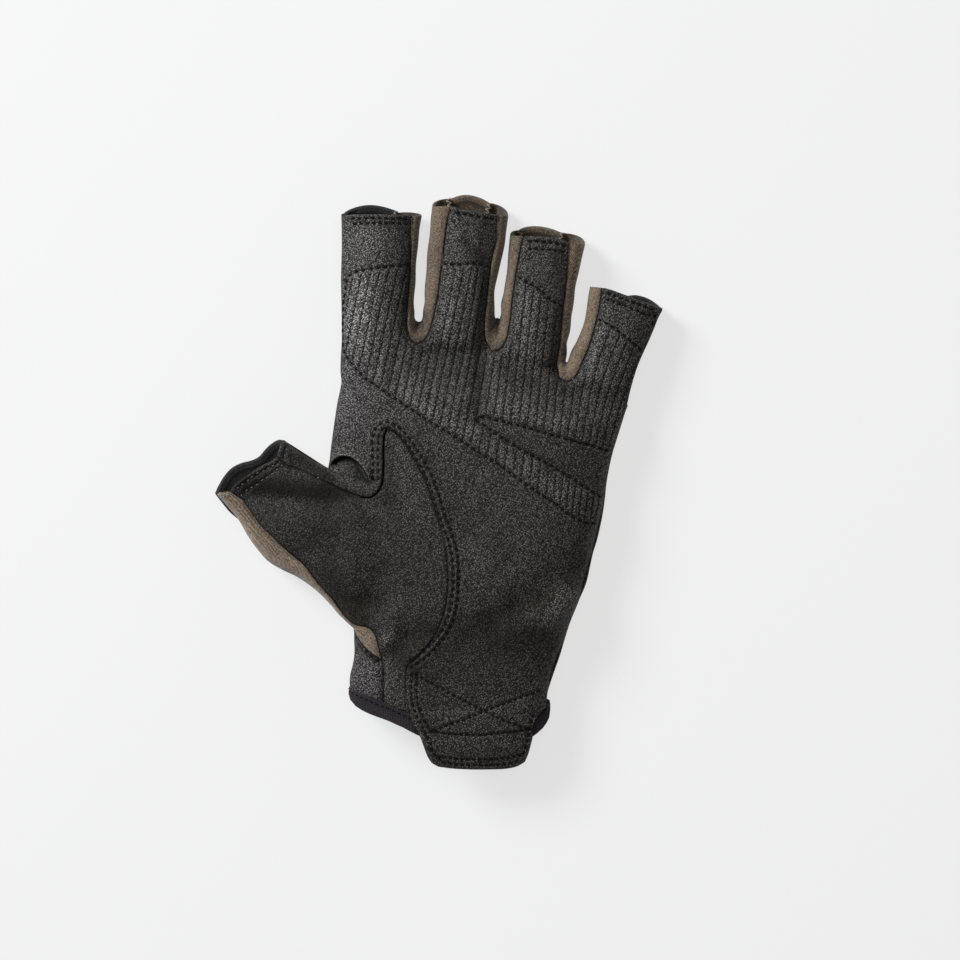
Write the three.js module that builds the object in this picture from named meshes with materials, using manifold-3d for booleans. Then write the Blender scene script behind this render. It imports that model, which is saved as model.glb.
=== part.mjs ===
// Fingerless training glove, left hand, lying on its back with the palm up.
// Millimetres. X runs across the palm to the little finger, Y runs from the
// wrist to the finger tips, Z is up. The origin is under the middle of the
// glove, on the surface that it lies on.
import * as THREE from 'three';
import { mergeVertices } from 'three/addons/utils/BufferGeometryUtils.js';
import Module from 'manifold-3d';

const wasm = await Module();
wasm.setup();

// ---- driving sizes -------------------------------------------------------
const WALL = 1.6;            // leather or knit wall
const PAD_RISE = 0.7;        // how far the quilted field stands above the palm
const SEAM_GAP = 0.3;        // gap left at every seam
const SIDE_SEAM_Z = 7.5;     // height of the seam between palm and back
const STRIP_SEAM_Z = 4.0;    // height of the seam between side strips and back
const SAG = 1.3;             // how much of the round underside is pressed flat
const BINDING_EXTRA = 0.4;   // the cuff band is thicker than the wall by this
const TAB_CLEAR = 0.3;       // space between the tab and the cuff band
const TAB_THICK = 2.2;       // two layers of leather
const RING_HAND = 28;        // points round a hand section
const RING_FINGER = 18;      // points round a finger section
const FAR = 60;              // reach of the cutting prisms

// ---- section tables --------------------------------------------------------
// one row per section: ends of the section seen from above, height of the
// top, of the widest line and of the underside, and squareness of the oval
const row = (leftX, leftY, rightX, rightY, top, wide, under, square) =>
  ({ leftX, leftY, rightX, rightY, top, wide, under, square });

const HAND = [
  row(-34.6, 54.1, 73.9, 35.5, 12.6, 7.0, 0, 2.5),
  row(-35.5, 46.5, 71.6, 27.3, 16.0, 7.5, 0, 2.5),
  row(-36.2, 33.5, 69.0, 21.0, 20.0, 7.5, 0, 2.4),
  row(-37.7, 22.4, 66.1, 14.0, 22.0, 7.5, 0, 2.4),
  row(-39.6, 7.0, 63.1, 4.0, 23.0, 7.5, 0, 2.4),
  row(-37.4, -11.4, 60.5, -11.4, 24.0, 7.5, 0, 2.4),
  row(-33.7, -29.1, 56.1, -29.1, 24.5, 7.5, 0, 2.4),
  row(-31.1, -47.5, 50.8, -47.5, 24.0, 7.5, 0, 2.4),
  row(-30.7, -60.4, 45.8, -60.4, 22.5, 7.5, 0, 2.4),
  row(-32.6, -75.4, 41.0, -75.4, 20.5, 7.5, 0, 2.4),
  row(-32.9, -85.7, 41.2, -85.7, 19.3, 7.5, 0, 2.4),
  row(-32.9, -92.2, 40.7, -92.2, 18.6, 7.5, 0, 2.4),
  row(-32.6, -108.0, 39.9, -108.0, 16.6, 7.5, 0, 2.4),
];
const DIGITS = {
  index: [
    row(-35.5, 108.9, -6.4, 108.9, 14.6, 7.3, 0, 2.5),
    row(-35.5, 98.3, -6.8, 98.3, 14.6, 7.3, 0, 2.5),
    row(-35.5, 83.5, -7.5, 83.5, 15.0, 7.3, 0, 2.5),
    row(-35.5, 70.3, -8.6, 70.3, 15.4, 7.3, 0, 2.5),
    row(-35.5, 62.9, -8.6, 62.9, 15.8, 7.3, 0, 2.5),
    row(-35.3, 58.5, -6.3, 58.5, 15.8, 7.3, 0, 2.5),
    row(-35.5, 50.0, -2.0, 50.0, 15.8, 7.4, 0, 2.5),
    row(-33.5, 32.0, -1.0, 32.0, 12.5, 7.0, 0, 2.5),
  ],
  middle: [
    row(-1.1, 111.5, 27.2, 111.5, 15.4, 7.5, 0, 2.5),
    row(-2.4, 98.3, 25.9, 98.3, 15.4, 7.5, 0, 2.5),
    row(-3.9, 83.5, 24.1, 83.5, 15.6, 7.5, 0, 2.5),
    row(-4.6, 71.8, 21.5, 71.8, 16.0, 7.5, 0, 2.5),
    row(-5.3, 62.9, 21.0, 62.9, 16.4, 7.5, 0, 2.5),
    row(-6.4, 58.5, 21.7, 58.5, 16.4, 7.5, 0, 2.5),
    row(-10.5, 50.0, 25.9, 50.0, 16.6, 7.5, 0, 2.5),
    row(-11.0, 30.0, 26.0, 30.0, 14.0, 7.0, 0, 2.5),
  ],
  ring: [
    row(28.2, 101.6, 56.1, 101.6, 14.8, 7.3, 0, 2.5),
    row(26.3, 86.5, 54.3, 86.5, 14.8, 7.3, 0, 2.5),
    row(24.8, 74.7, 51.3, 74.7, 15.2, 7.3, 0, 2.5),
    row(23.2, 65.9, 49.9, 65.9, 15.6, 7.4, 0, 2.5),
    row(22.4, 60.0, 49.3, 60.0, 15.8, 7.5, 0, 2.5),
    row(17.5, 48.2, 47.8, 48.2, 16.0, 7.5, 0, 2.5),
    row(15.5, 28.0, 50.4, 28.0, 13.5, 7.0, 0, 2.5),
  ],
  little: [
    row(58.5, 78.4, 86.5, 78.4, 13.0, 6.8, 0, 2.5),
    row(55.8, 68.8, 83.5, 68.8, 13.0, 6.8, 0, 2.5),
    row(53.5, 60.0, 81.5, 60.0, 13.4, 7.0, 0, 2.5),
    row(50.2, 51.2, 78.6, 51.2, 13.8, 7.2, 0, 2.5),
    row(48.0, 46.0, 76.7, 46.0, 14.2, 7.4, 0, 2.5),
    row(42.5, 35.3, 72.3, 35.3, 14.6, 7.5, 0, 2.5),
    row(38.7, 20.3, 63.6, 20.3, 11.0, 7.0, 0, 2.5),
  ],
  thumb: [
    row(-92.0, 5.7, -63.6, 25.8, 16.6, 8.6, 1.0, 2.3),
    row(-83.0, -4.0, -56.1, 14.7, 16.8, 8.6, 0.8, 2.3),
    row(-77.8, -10.7, -50.6, 10.7, 17.2, 8.4, 0.4, 2.3),
    row(-70.5, -18.4, -44.7, 7.0, 18.0, 8.2, 0, 2.3),
    row(-64.2, -27.2, -38.8, 3.7, 19.4, 8.0, 0, 2.3),
    row(-53.5, -34.2, -32.2, -1.1, 21.0, 7.8, 0, 2.3),
    row(-42.5, -43.1, -25.6, -6.6, 22.0, 7.6, 0, 2.3),
    row(-33.7, -52.3, -19.3, -15.1, 22.5, 7.5, 0, 2.3),
    row(-27.6, -60.4, -11.8, -24.7, 17.5, 7.5, 0, 2.3),
  ],
};

// ---- seam and edge lines, seen from above ------------------------------------
// one row per seam; each passes through its points in order
const LINES = {
  forkOne: [[-9.4, 99.4], [-10.5, 72.1], [-10.7, 56.0], [-8.1, 50.2], [-4.2, 52.4], [-0.4, 65.5], [3.1, 90.5], [5.0, 104.1]],
  forkTwo: [[22.4, 101.9], [19.7, 77.3], [17.1, 55.6], [18.2, 50.0], [20.7, 47.7], [23.4, 49.7], [27.6, 67.7], [31.8, 93.1]],
  forkThree: [[48.4, 91.3], [46.0, 63.7], [44.8, 43.0], [46.0, 38.6], [48.0, 36.8], [50.6, 37.9], [56.1, 53.4], [60.7, 71.0]],
  thumbStrip: [[-58.9, 9.2], [-51.0, 4.6], [-36.2, -2.4], [-24.5, -6.1]],
  cornerTurn: [[-24.5, -6.1], [-20.1, -0.7], [-19.7, 8.0], [-18.6, 19.1]],
  crescent: [[-18.6, 19.1], [-9.8, 10.7], [-1.3, -8.1], [3.3, -27.6], [3.2, -43.1], [-2.0, -58.7], [-10.9, -67.7]],
  tabSide: [[-10.9, -67.7], [-12.1, -71.8], [-10.9, -80.6], [-10.1, -85.0]],
  gussetSeam: [[-76.7, -3.7], [-65.1, -16.2], [-49.7, -29.8], [-38.5, -43.1], [-29.3, -53.2], [-23.0, -56.5], [-20.4, -65.0]],
  gussetPoint: [[-20.4, -65.0], [-27.0, -60.9], [-31.1, -54.5]],
  wristSeam: [[-20.4, -65.0], [-19.6, -72.0], [-19.7, -80.8]],
  bandTopLeft: [[-42.0, -71.5], [-32.2, -75.7], [-19.7, -80.8], [-10.1, -85.0]],
  bandTopUnderTab: [[-10.1, -85.0], [-2.8, -91.3], [15.6, -91.8], [34.4, -91.1]],
  bandTopRight: [[34.4, -91.1], [36.4, -86.5], [40.3, -79.9], [52.0, -73.0]],
  cuffEdge: [[-42.0, -77.0], [-31.5, -81.0], [-20.4, -87.2], [-7.5, -93.1], [0.9, -96.0], [15.6, -97.2], [31.1, -96.4], [39.6, -90.5], [52.0, -82.0]],
  bandTopBack: [[-42.0, -71.5], [-19.7, -80.8], [0.9, -88.0], [15.6, -90.0], [31.1, -88.0], [52.0, -73.0]],
  thumbMouth: [[-76.7, -3.7], [-67.2, 1.5], [-58.9, 9.2]],
  thumbMouthStrip: [[-58.9, 9.2], [-57.6, 12.9], [-51.0, 20.0]],
  thumbMouthBack: [[-92.0, -6.0], [-83.0, -3.7], [-76.7, 4.0], [-65.7, 9.9], [-59.1, 14.7], [-51.0, 18.5]],
  littleMouth: [[60.7, 70.8], [71.6, 67.3], [92.0, 60.7]],
  indexMouthBack: [[-45.0, 97.0], [-35.5, 99.0], [-25.6, 101.9], [-13.1, 100.3], [-7.6, 99.0]],
  middleMouthBack: [[0.0, 102.5], [6.0, 104.4], [13.1, 105.8], [22.4, 101.9], [26.3, 97.6]],
  ringMouthBack: [[27.0, 90.5], [36.2, 94.2], [46.5, 92.3], [54.6, 87.3]],
  littleMouthBack: [[55.0, 71.4], [67.9, 69.0], [78.2, 67.3], [92.0, 60.7]],
  indexBackSeam: [[-5.8, 72.0], [-6.6, 58.0], [-16.0, 40.0], [-30.0, 27.0], [-48.0, 20.0]],
  littleBackSeam: [[53.0, 62.0], [48.5, 46.0], [56.0, 34.0], [82.0, 26.0]],
  thumbBackSeam: [[-44.0, 14.0], [-42.2, 4.6], [-58.0, -8.0], [-80.0, -20.0]],
};
const LINE_STEPS = 2;       // pieces per span when a line is smoothed

// the tab: one row per corner of its outline
const TAB_OUTLINE = [[-4.2, -91.4], [-5.0, -94.0], [-2.8, -101.9], [0.2, -104.5],
  [12.0, -105.8], [26.0, -105.5], [31.7, -103.5], [34.8, -93.8], [34.6, -91.2], [15.0, -91.9]];

// the quilted field: outline from the index finger round the knuckles, and
// the plain wedge that is left out of it
const QUILT_OUTLINE = [[-33.3, 75.1], [-23.7, 78.4], [-12.2, 79.6], [-12.6, 57.0], [-9.0, 48.2], [-3.0, 50.2],
  [1.6, 66.0], [3.4, 79.6], [12.4, 79.7], [17.8, 78.3], [15.3, 56.0], [16.6, 48.6], [20.7, 45.8], [25.0, 48.2],
  [29.0, 65.0], [30.6, 75.0], [42.9, 63.5], [42.8, 44.0], [44.4, 37.4], [48.2, 34.8], [52.4, 37.0], [58.2, 53.0],
  [60.4, 58.6], [66.0, 54.0], [73.0, 46.0], [67.0, 28.6], [63.4, 12.2], [38.0, 18.1], [14.5, 23.0],
  [35.2, 8.8], [60.2, -6.6], [59.0, -15.0], [55.4, -15.8], [32.6, -1.5], [-0.9, 21.3], [-27.1, 38.3], [-34.2, 48.0]];

// ---- colours of the materials ---------------------------------------------------
const SUEDE = { color: 0x3f3d3c, roughness: 0.85, metalness: 0 };
const KNIT = { color: 0x6e6455, roughness: 0.9, metalness: 0 };
const BLACK = { color: 0x1d1c1c, roughness: 0.8, metalness: 0 };
const BAND = { color: 0x2b272a, roughness: 0.85, metalness: 0 };

// ---- helpers ------------------------------------------------------------------
function solidOf(geometry) {
  geometry.deleteAttribute('normal');
  geometry.deleteAttribute('uv');
  const merged = mergeVertices(geometry, 1e-4);
  return new wasm.Manifold(new wasm.Mesh({
    numProp: 3,
    vertProperties: new Float32Array(merged.attributes.position.array),
    triVerts: new Uint32Array(merged.index.array),
  }));
}

function smooth(line) {
  const curve = new THREE.SplineCurve(line.map(([x, y]) => new THREE.Vector2(x, y)));
  return curve.getPoints((line.length - 1) * LINE_STEPS).map((p) => [p.x, p.y]);
}
const path = (...names) => names.flatMap((name) => (name[0] === '-' ? smooth(LINES[name.slice(1)]).reverse() : smooth(LINES[name])));

// upright prism over an outline, from one height to another
function prism(outline, low, high) {
  const points = outline.map(([x, y]) => new THREE.Vector2(x, y));
  const kept = points.filter((p, i) => i === 0 || p.distanceTo(points[i - 1]) > 0.02);
  if (kept[0].distanceTo(kept[kept.length - 1]) < 0.02) kept.pop();
  const body = new THREE.ExtrudeGeometry(new THREE.Shape(kept), { depth: high - low, bevelEnabled: false });
  body.translate(0, 0, low);
  return solidOf(body);
}

// thin upright blade along a line, used to leave the gap of a seam
function blade(line, low, high, width = SEAM_GAP) {
  const side = line.map(([x, y], i) => {
    const [ax, ay] = line[Math.max(i - 1, 0)];
    const [bx, by] = line[Math.min(i + 1, line.length - 1)];
    const length = Math.hypot(bx - ax, by - ay) || 1;
    return [-(by - ay) / length * width / 2, (bx - ax) / length * width / 2];
  });
  const one = line.map(([x, y], i) => [x + side[i][0], y + side[i][1]]);
  const other = line.map(([x, y], i) => [x - side[i][0], y - side[i][1]]).reverse();
  return prism([...one, ...other], low, high);
}

const power = (v, n) => Math.sign(v) * Math.abs(v) ** (2 / n);

// closed tube through the sections; grow > 0 is outside the leather's outer
// face, grow < 0 inside it; reach moves the first section outward
function tube(rows, grow, points, reach = 0) {
  const rings = rows.map((r, i) => {
    const next = rows[1];
    const left = new THREE.Vector2(r.leftX, r.leftY);
    const right = new THREE.Vector2(r.rightX, r.rightY);
    if (i === 0 && reach !== 0) {
      const away = new THREE.Vector2(r.leftX + r.rightX - next.leftX - next.rightX,
        r.leftY + r.rightY - next.leftY - next.rightY).normalize().multiplyScalar(reach);
      left.add(away);
      right.add(away);
    }
    const middle = left.clone().add(right).multiplyScalar(0.5);
    const along = right.clone().sub(left).normalize();
    const half = left.distanceTo(right) / 2 + grow;
    const floor = r.under - Math.min(grow, 0);
    const ring = [];
    for (let k = 0; k < points; k += 1) {
      const angle = (2 * Math.PI * (k + 0.5)) / points;
      const across = half * power(Math.cos(angle), r.square);
      const rise = power(Math.sin(angle), r.square);
      const z = rise >= 0 ? r.wide + rise * (r.top + grow - r.wide) : r.wide + rise * (r.wide - floor + SAG);
      ring.push([middle.x + along.x * across, middle.y + along.y * across, Math.max(z, floor)]);
    }
    return ring;
  });
  const position = rings.flat(2);
  const index = [];
  for (let i = 0; i + 1 < rings.length; i += 1) {
    for (let k = 0; k < points; k += 1) {
      const a = i * points + k;
      const b = i * points + ((k + 1) % points);
      index.push(a, b, a + points, b, b + points, a + points);
    }
  }
  for (const [base, flip] of [[0, false], [(rings.length - 1) * points, true]]) {
    for (let k = 1; k + 1 < points; k += 1) {
      if (flip) index.push(base, base + k, base + k + 1);
      else index.push(base, base + k + 1, base + k);
    }
  }
  const geometry = new THREE.BufferGeometry();
  geometry.setAttribute('position', new THREE.Float32BufferAttribute(position, 3));
  geometry.setIndex(index);
  let solid = solidOf(geometry);
  if (solid.volume() < 0) {
    for (let k = 0; k < index.length; k += 3) [index[k], index[k + 1]] = [index[k + 1], index[k]];
    geometry.setIndex(index);
    solid = solidOf(geometry);
  }
  return solid;
}

const joined = (solids) => solids.reduce((sum, one) => sum.add(one));

function gloveSolid(grow, reach) {
  return joined([tube(HAND, grow, RING_HAND, reach === 0 ? 0 : -reach),
    ...Object.values(DIGITS).map((rows) => tube(rows, grow, RING_FINGER, reach))]);
}

// the biggest body of a solid, so that no sliver of a cut stays with a piece
function mainBody(solid) {
  const bodies = solid.decompose().sort((a, b) => b.volume() - a.volume());
  return bodies[0];
}

// ---- the hollow skin of the glove ---------------------------------------------
const outer = gloveSolid(0, 0);
const inner = gloveSolid(-WALL, 2);
const wristHole = tube(HAND.slice(-3).reverse(), -WALL, RING_HAND, 3);
const skin = outer.subtract(inner).subtract(wristHole);

// ---- regions seen from above ----------------------------------------------------
const regions = {
  forkOne: [...path('forkOne'), [0.0, 103.2], [-2.4, 101.6], [-4.0, 99.0], [-6.1, 98.0]],
  forkTwo: [...path('forkTwo'), [28.6, 92.5], [26.6, 89.8], [26.0, 97.0], [24.6, 100.0]],
  forkThree: [...path('forkThree'), [56.4, 70.8], [54.9, 86.9], [51.5, 89.4]],
};
const palmRegion = [[-50, 98.4], ...path('forkOne').map((p, i) => (i === 0 ? [p[0], 98.4] : p)).slice(0, -1), [4.8, 100.4],
  [13.8, 98.9], [22.3, 97.6], ...path('forkTwo').slice(1, -1), [31.4, 89.3], [39.0, 88.6], [48.2, 87.5],
  ...path('forkThree').slice(1), ...path('littleMouth'),
  [95, -60], ...path('-bandTopRight', '-bandTopUnderTab', '-tabSide', '-crescent', '-cornerTurn', '-thumbStrip'),
  ...path('thumbMouthStrip'), [-50, 30]];
const thumbRegion = path('thumbMouth', 'thumbStrip', 'cornerTurn', 'crescent', 'tabSide')
  .concat(smooth(LINES.bandTopLeft).reverse().filter(([x]) => x > -19.6 && x < -10.2))
  .concat(path('-wristSeam', '-gussetSeam'));
const wristRegion = path('-gussetPoint', 'wristSeam')
  .concat(smooth(LINES.bandTopLeft).reverse().filter(([x]) => x < -19.8), [[-50, -60]]);
const gussetRegion = [...path('gussetSeam', 'gussetPoint'), [-60, -56], [-95, -20], [-86, -8], [-81.0, -3.4]];
const quiltRegion = QUILT_OUTLINE;

// ---- upper pieces ---------------------------------------------------------------
const SIDE_LOW = SIDE_SEAM_Z + SEAM_GAP / 2;
const STRIP_LOW = STRIP_SEAM_Z + SEAM_GAP / 2;
const seamBlades = (names, low) => joined(names.map((name) => blade(smooth(LINES[name]), low, FAR)));
const upperBlades = seamBlades(['forkOne', 'forkTwo', 'forkThree', 'thumbStrip', 'cornerTurn', 'crescent', 'tabSide',
  'gussetSeam', 'gussetPoint', 'wristSeam', 'bandTopLeft', 'bandTopUnderTab', 'bandTopRight'], -5);
const cutOut = (solid, outline, low) => mainBody(solid.intersect(prism(outline, low, FAR)).subtract(upperBlades));

const pad = gloveSolid(PAD_RISE, 0).intersect(prism(quiltRegion, 9.5, FAR)).subtract(inner);
const palmPanel = cutOut(skin.add(pad), palmRegion, SIDE_LOW);
const thumbPanel = cutOut(skin, thumbRegion, SIDE_LOW);
const wristPanel = cutOut(skin, wristRegion, SIDE_LOW);
const gusset = cutOut(skin, gussetRegion, STRIP_LOW);
const forks = ['forkOne', 'forkTwo', 'forkThree'].map((name) => cutOut(skin, regions[name], STRIP_LOW));

// ---- the back -------------------------------------------------------------------
const backLow = skin.intersect(prism([[-130, -130], [130, -130], [130, 140], [-130, 140]], -5, SIDE_SEAM_Z - SEAM_GAP / 2));
const stripSpace = joined([...Object.values(regions), gussetRegion].map((outline) => prism(outline, STRIP_SEAM_Z - SEAM_GAP / 2, FAR)));
const stripEdges = joined(['forkOne', 'forkTwo', 'forkThree', 'gussetSeam', 'gussetPoint']
  .map((name) => blade(smooth(LINES[name]), STRIP_SEAM_Z - SEAM_GAP / 2, FAR)));
const backSkin = backLow.subtract(stripSpace).subtract(stripEdges);
const hiddenBlades = joined(['indexBackSeam', 'littleBackSeam', 'thumbBackSeam', 'bandTopBack'].map((name) => blade(smooth(LINES[name]), -5, FAR)));
const backCut = (outline) => mainBody(backSkin.intersect(prism(outline, -5, FAR)).subtract(hiddenBlades));
const indexBack = backCut([...path('indexMouthBack', 'indexBackSeam')]);
const littleBack = backCut([...path('littleMouthBack'), ...path('-littleBackSeam')]);
const thumbBack = backCut([...path('thumbMouthBack', 'thumbBackSeam')]);
const backPanel = backCut([...path('indexBackSeam').reverse(), [-3.0, 100.0], ...path('middleMouthBack', 'ringMouthBack', 'littleBackSeam'),
  [95, 0], ...path('-bandTopBack'), [-100, -60], [-100, -25], ...path('-thumbBackSeam')]);

// ---- cuff band and tab -----------------------------------------------------------
const cuffRows = HAND.slice(-6);
const bandOuter = tube(cuffRows, BINDING_EXTRA, RING_HAND);
const bandInner = tube([...cuffRows].reverse(), -WALL - BINDING_EXTRA, RING_HAND, 3);
const bandSkin = bandOuter.subtract(bandInner);
const bandUpper = bandSkin.intersect(prism([...path('bandTopLeft', 'bandTopUnderTab', 'bandTopRight'), ...path('-cuffEdge')], SIDE_SEAM_Z, FAR));
const bandLower = bandSkin.intersect(prism([...path('bandTopBack'), ...path('-cuffEdge')], -5, SIDE_SEAM_Z));
const bandBlades = joined(['bandTopLeft', 'bandTopUnderTab', 'bandTopRight'].map((name) => blade(smooth(LINES[name]), SIDE_SEAM_Z - SEAM_GAP, FAR)))
  .add(blade(smooth(LINES.bandTopBack), -5, SIDE_SEAM_Z + SEAM_GAP));
const band = mainBody(bandUpper.add(bandLower).subtract(bandBlades));

const tabRows = HAND.slice(-5);
const tabLayer = tube(tabRows, BINDING_EXTRA + TAB_CLEAR + TAB_THICK, RING_HAND)
  .subtract(tube([...tabRows].reverse(), BINDING_EXTRA + TAB_CLEAR, RING_HAND, 3));
const tab = mainBody(tabLayer.intersect(prism(TAB_OUTLINE, 10, FAR)));

// ---- the named pieces --------------------------------------------------------------
const group = new THREE.Group();
group.name = 'training_glove';
function piece(name, solid, finish) {
  const mesh = solid.getMesh();
  const geometry = new THREE.BufferGeometry();
  const stride = mesh.numProp;
  const points = [];
  for (let i = 0; i < mesh.vertProperties.length; i += stride) {
    points.push(mesh.vertProperties[i], mesh.vertProperties[i + 1], mesh.vertProperties[i + 2]);
  }
  geometry.setAttribute('position', new THREE.Float32BufferAttribute(points, 3));
  geometry.setIndex([...mesh.triVerts]);
  const object = new THREE.Mesh(geometry, new THREE.MeshStandardMaterial(finish));
  object.name = name;
  group.add(object);
}
piece('palm_panel', palmPanel, SUEDE);
piece('thumb_panel', thumbPanel, SUEDE);
piece('wrist_side_panel', wristPanel, SUEDE);
piece('fourchette_index_middle', forks[0], KNIT);
piece('fourchette_middle_ring', forks[1], KNIT);
piece('fourchette_ring_little', forks[2], KNIT);
piece('thumb_gusset', gusset, KNIT);
piece('thumb_back', thumbBack, BLACK);
piece('index_back', indexBack, BLACK);
piece('little_back', littleBack, BLACK);
piece('back_panel', backPanel, KNIT);
piece('cuff_binding', band, BAND);
piece('pull_tab', tab, SUEDE);

export default group;
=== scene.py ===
import math
import bpy
import numpy as np
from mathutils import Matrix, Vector
from mathutils.geometry import delaunay_2d_cdt


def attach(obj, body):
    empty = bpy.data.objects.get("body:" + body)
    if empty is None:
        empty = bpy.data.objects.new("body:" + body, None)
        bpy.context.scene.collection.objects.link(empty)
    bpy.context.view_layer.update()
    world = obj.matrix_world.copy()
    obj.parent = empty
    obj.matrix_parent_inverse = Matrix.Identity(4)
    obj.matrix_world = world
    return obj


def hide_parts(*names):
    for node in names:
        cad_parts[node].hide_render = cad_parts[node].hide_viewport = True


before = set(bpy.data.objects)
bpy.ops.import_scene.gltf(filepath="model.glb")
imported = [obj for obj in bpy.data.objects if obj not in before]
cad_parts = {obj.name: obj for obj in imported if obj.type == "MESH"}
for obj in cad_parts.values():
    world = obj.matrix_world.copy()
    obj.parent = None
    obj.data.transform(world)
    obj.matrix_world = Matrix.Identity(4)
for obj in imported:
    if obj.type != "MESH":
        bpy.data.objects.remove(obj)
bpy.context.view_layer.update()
RNG = np.random.default_rng(7)

# ---------------------------------------------------------------------------
# Sizes in millimetres. Outlines are noted in steps of the 960 by 960 view,
# seen straight from above, and U turns a step into millimetres.
# ---------------------------------------------------------------------------
U = 0.368
CX, CY = 437.5, 481.0
WALL = 1.5
SIDE_Z = 7.5
SAG = 1.3
FINE = 0.62
COARSE = 2.2
EDGE_STEP = 0.7


def P(points):
    a = np.array(points, float)
    return np.c_[(a[:, 0] - CX) * U, (CY - a[:, 1]) * U]


def hermite(t, rows, at):
    rows = np.asarray(rows, float)
    slope = np.gradient(rows, t, axis=0)
    k = np.clip(np.searchsorted(t, at, side="right") - 1, 0, len(t) - 2)
    h = t[k + 1] - t[k]
    s = (at - t[k]) / h
    s, h = s[:, None], h[:, None]
    a = 2 * s ** 3 - 3 * s ** 2 + 1
    b = s ** 3 - 2 * s ** 2 + s
    c = -2 * s ** 3 + 3 * s ** 2
    d = s ** 3 - s ** 2
    return a * rows[k] + b * h * slope[k] + c * rows[k + 1] + d * h * slope[k + 1]


def even(line, step=None, count=None):
    line = np.asarray(line, float)
    seg = np.linalg.norm(np.diff(line, axis=0), axis=1)
    t = np.r_[0, np.cumsum(seg)]
    keep = np.r_[True, seg > 1e-9]
    t, line = t[keep], line[keep]
    n = count if count else max(2, int(round(t[-1] / step)) + 1)
    at = np.linspace(0, t[-1], n)
    return np.stack([np.interp(at, t, line[:, k]) for k in range(line.shape[1])], 1)


def curve(points, step=0.35):
    """Smooth line through noted points, in millimetres."""
    p = P(points)
    t = np.r_[0, np.cumsum(np.linalg.norm(np.diff(p, axis=0), axis=1))]
    fine = hermite(t, p, np.linspace(0, t[-1], max(8, int(t[-1] / 0.2))))
    return even(fine, step)


def side_of(line):
    d = np.gradient(line, axis=0)
    d /= np.linalg.norm(d, axis=1)[:, None] + 1e-12
    return np.c_[-d[:, 1], d[:, 0]]


def offset(line, distance):
    return line + side_of(line) * distance


def distance(points, line, reach=6.0):
    """Distance from each point to a line, and how far along the line; far points get reach."""
    points = np.asarray(points, float)
    out = np.full(len(points), reach)
    along = np.zeros(len(points))
    lo, hi = line.min(0) - reach, line.max(0) + reach
    near = np.flatnonzero(((points[:, :2] > lo) & (points[:, :2] < hi)).all(1))
    if not len(near):
        return out, along
    a, b = line[:-1], line[1:]
    ab = b - a
    l2 = (ab ** 2).sum(1) + 1e-12
    start = np.r_[0, np.cumsum(np.sqrt(l2))][:-1]
    for chunk in np.array_split(near, max(1, len(near) * len(a) // 2_000_000 + 1)):
        p = points[chunk, None, :2] - a[None]
        s = np.clip((p * ab).sum(2) / l2, 0, 1)
        d2 = ((p - s[:, :, None] * ab) ** 2).sum(2)
        k = d2.argmin(1)
        rows = np.arange(len(chunk))
        out[chunk] = np.minimum(reach, np.sqrt(d2[rows, k]))
        along[chunk] = start[k] + s[rows, k] * np.sqrt(l2[k])
    return out, along


def inside(points, loop):
    x, y = points[:, 0], points[:, 1]
    hit = np.zeros(len(points), bool)
    a, b = loop, np.roll(loop, -1, axis=0)
    for (ax, ay), (bx, by) in zip(a, b):
        if ay == by:
            continue
        cross = ((ay > y) != (by > y)) & (x < (bx - ax) * (y - ay) / (by - ay) + ax)
        hit ^= cross
    return hit


def smoothstep(lo, hi, v):
    s = np.clip((v - lo) / (hi - lo), 0, 1)
    return s * s * (3 - 2 * s)


# ---------------------------------------------------------------------------
# The body of the glove: sections of the hand and the five stalls. A row is
# left x, left y, right x, right y, top, widest height, underside, squareness.
# ---------------------------------------------------------------------------
HAND = [
    (-34.8, 54.1, 74.2, 35.0, 12.6, 7.5, 0, 2.5), (-35.5, 46.5, 71.6, 27.6, 15.6, 7.5, 0, 2.5),
    (-36.2, 33.5, 69.0, 21.0, 20.6, 7.5, 0, 2.4), (-38.0, 22.4, 66.1, 14.0, 22.3, 7.5, 0, 2.3),
    (-39.6, 7.0, 63.1, 4.0, 22.6, 7.5, 0, 2.3), (-37.4, -11.4, 60.5, -11.4, 23.6, 7.5, 0, 2.3),
    (-33.7, -29.1, 56.1, -29.1, 24.4, 7.5, 0, 2.3), (-31.1, -47.5, 50.8, -47.5, 24.0, 7.5, 0, 2.3),
    (-31.0, -60.4, 45.8, -60.4, 22.3, 7.5, 0, 2.3), (-32.6, -75.4, 41.0, -75.4, 20.5, 7.5, 0, 2.4),
    (-32.6, -85.7, 41.0, -85.7, 19.6, 7.5, 0, 2.4), (-32.6, -92.2, 40.7, -92.2, 19.0, 7.5, 0, 2.4),
    (-32.6, -108.0, 39.9, -108.0, 17.6, 7.5, 0, 2.4),
]
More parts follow.
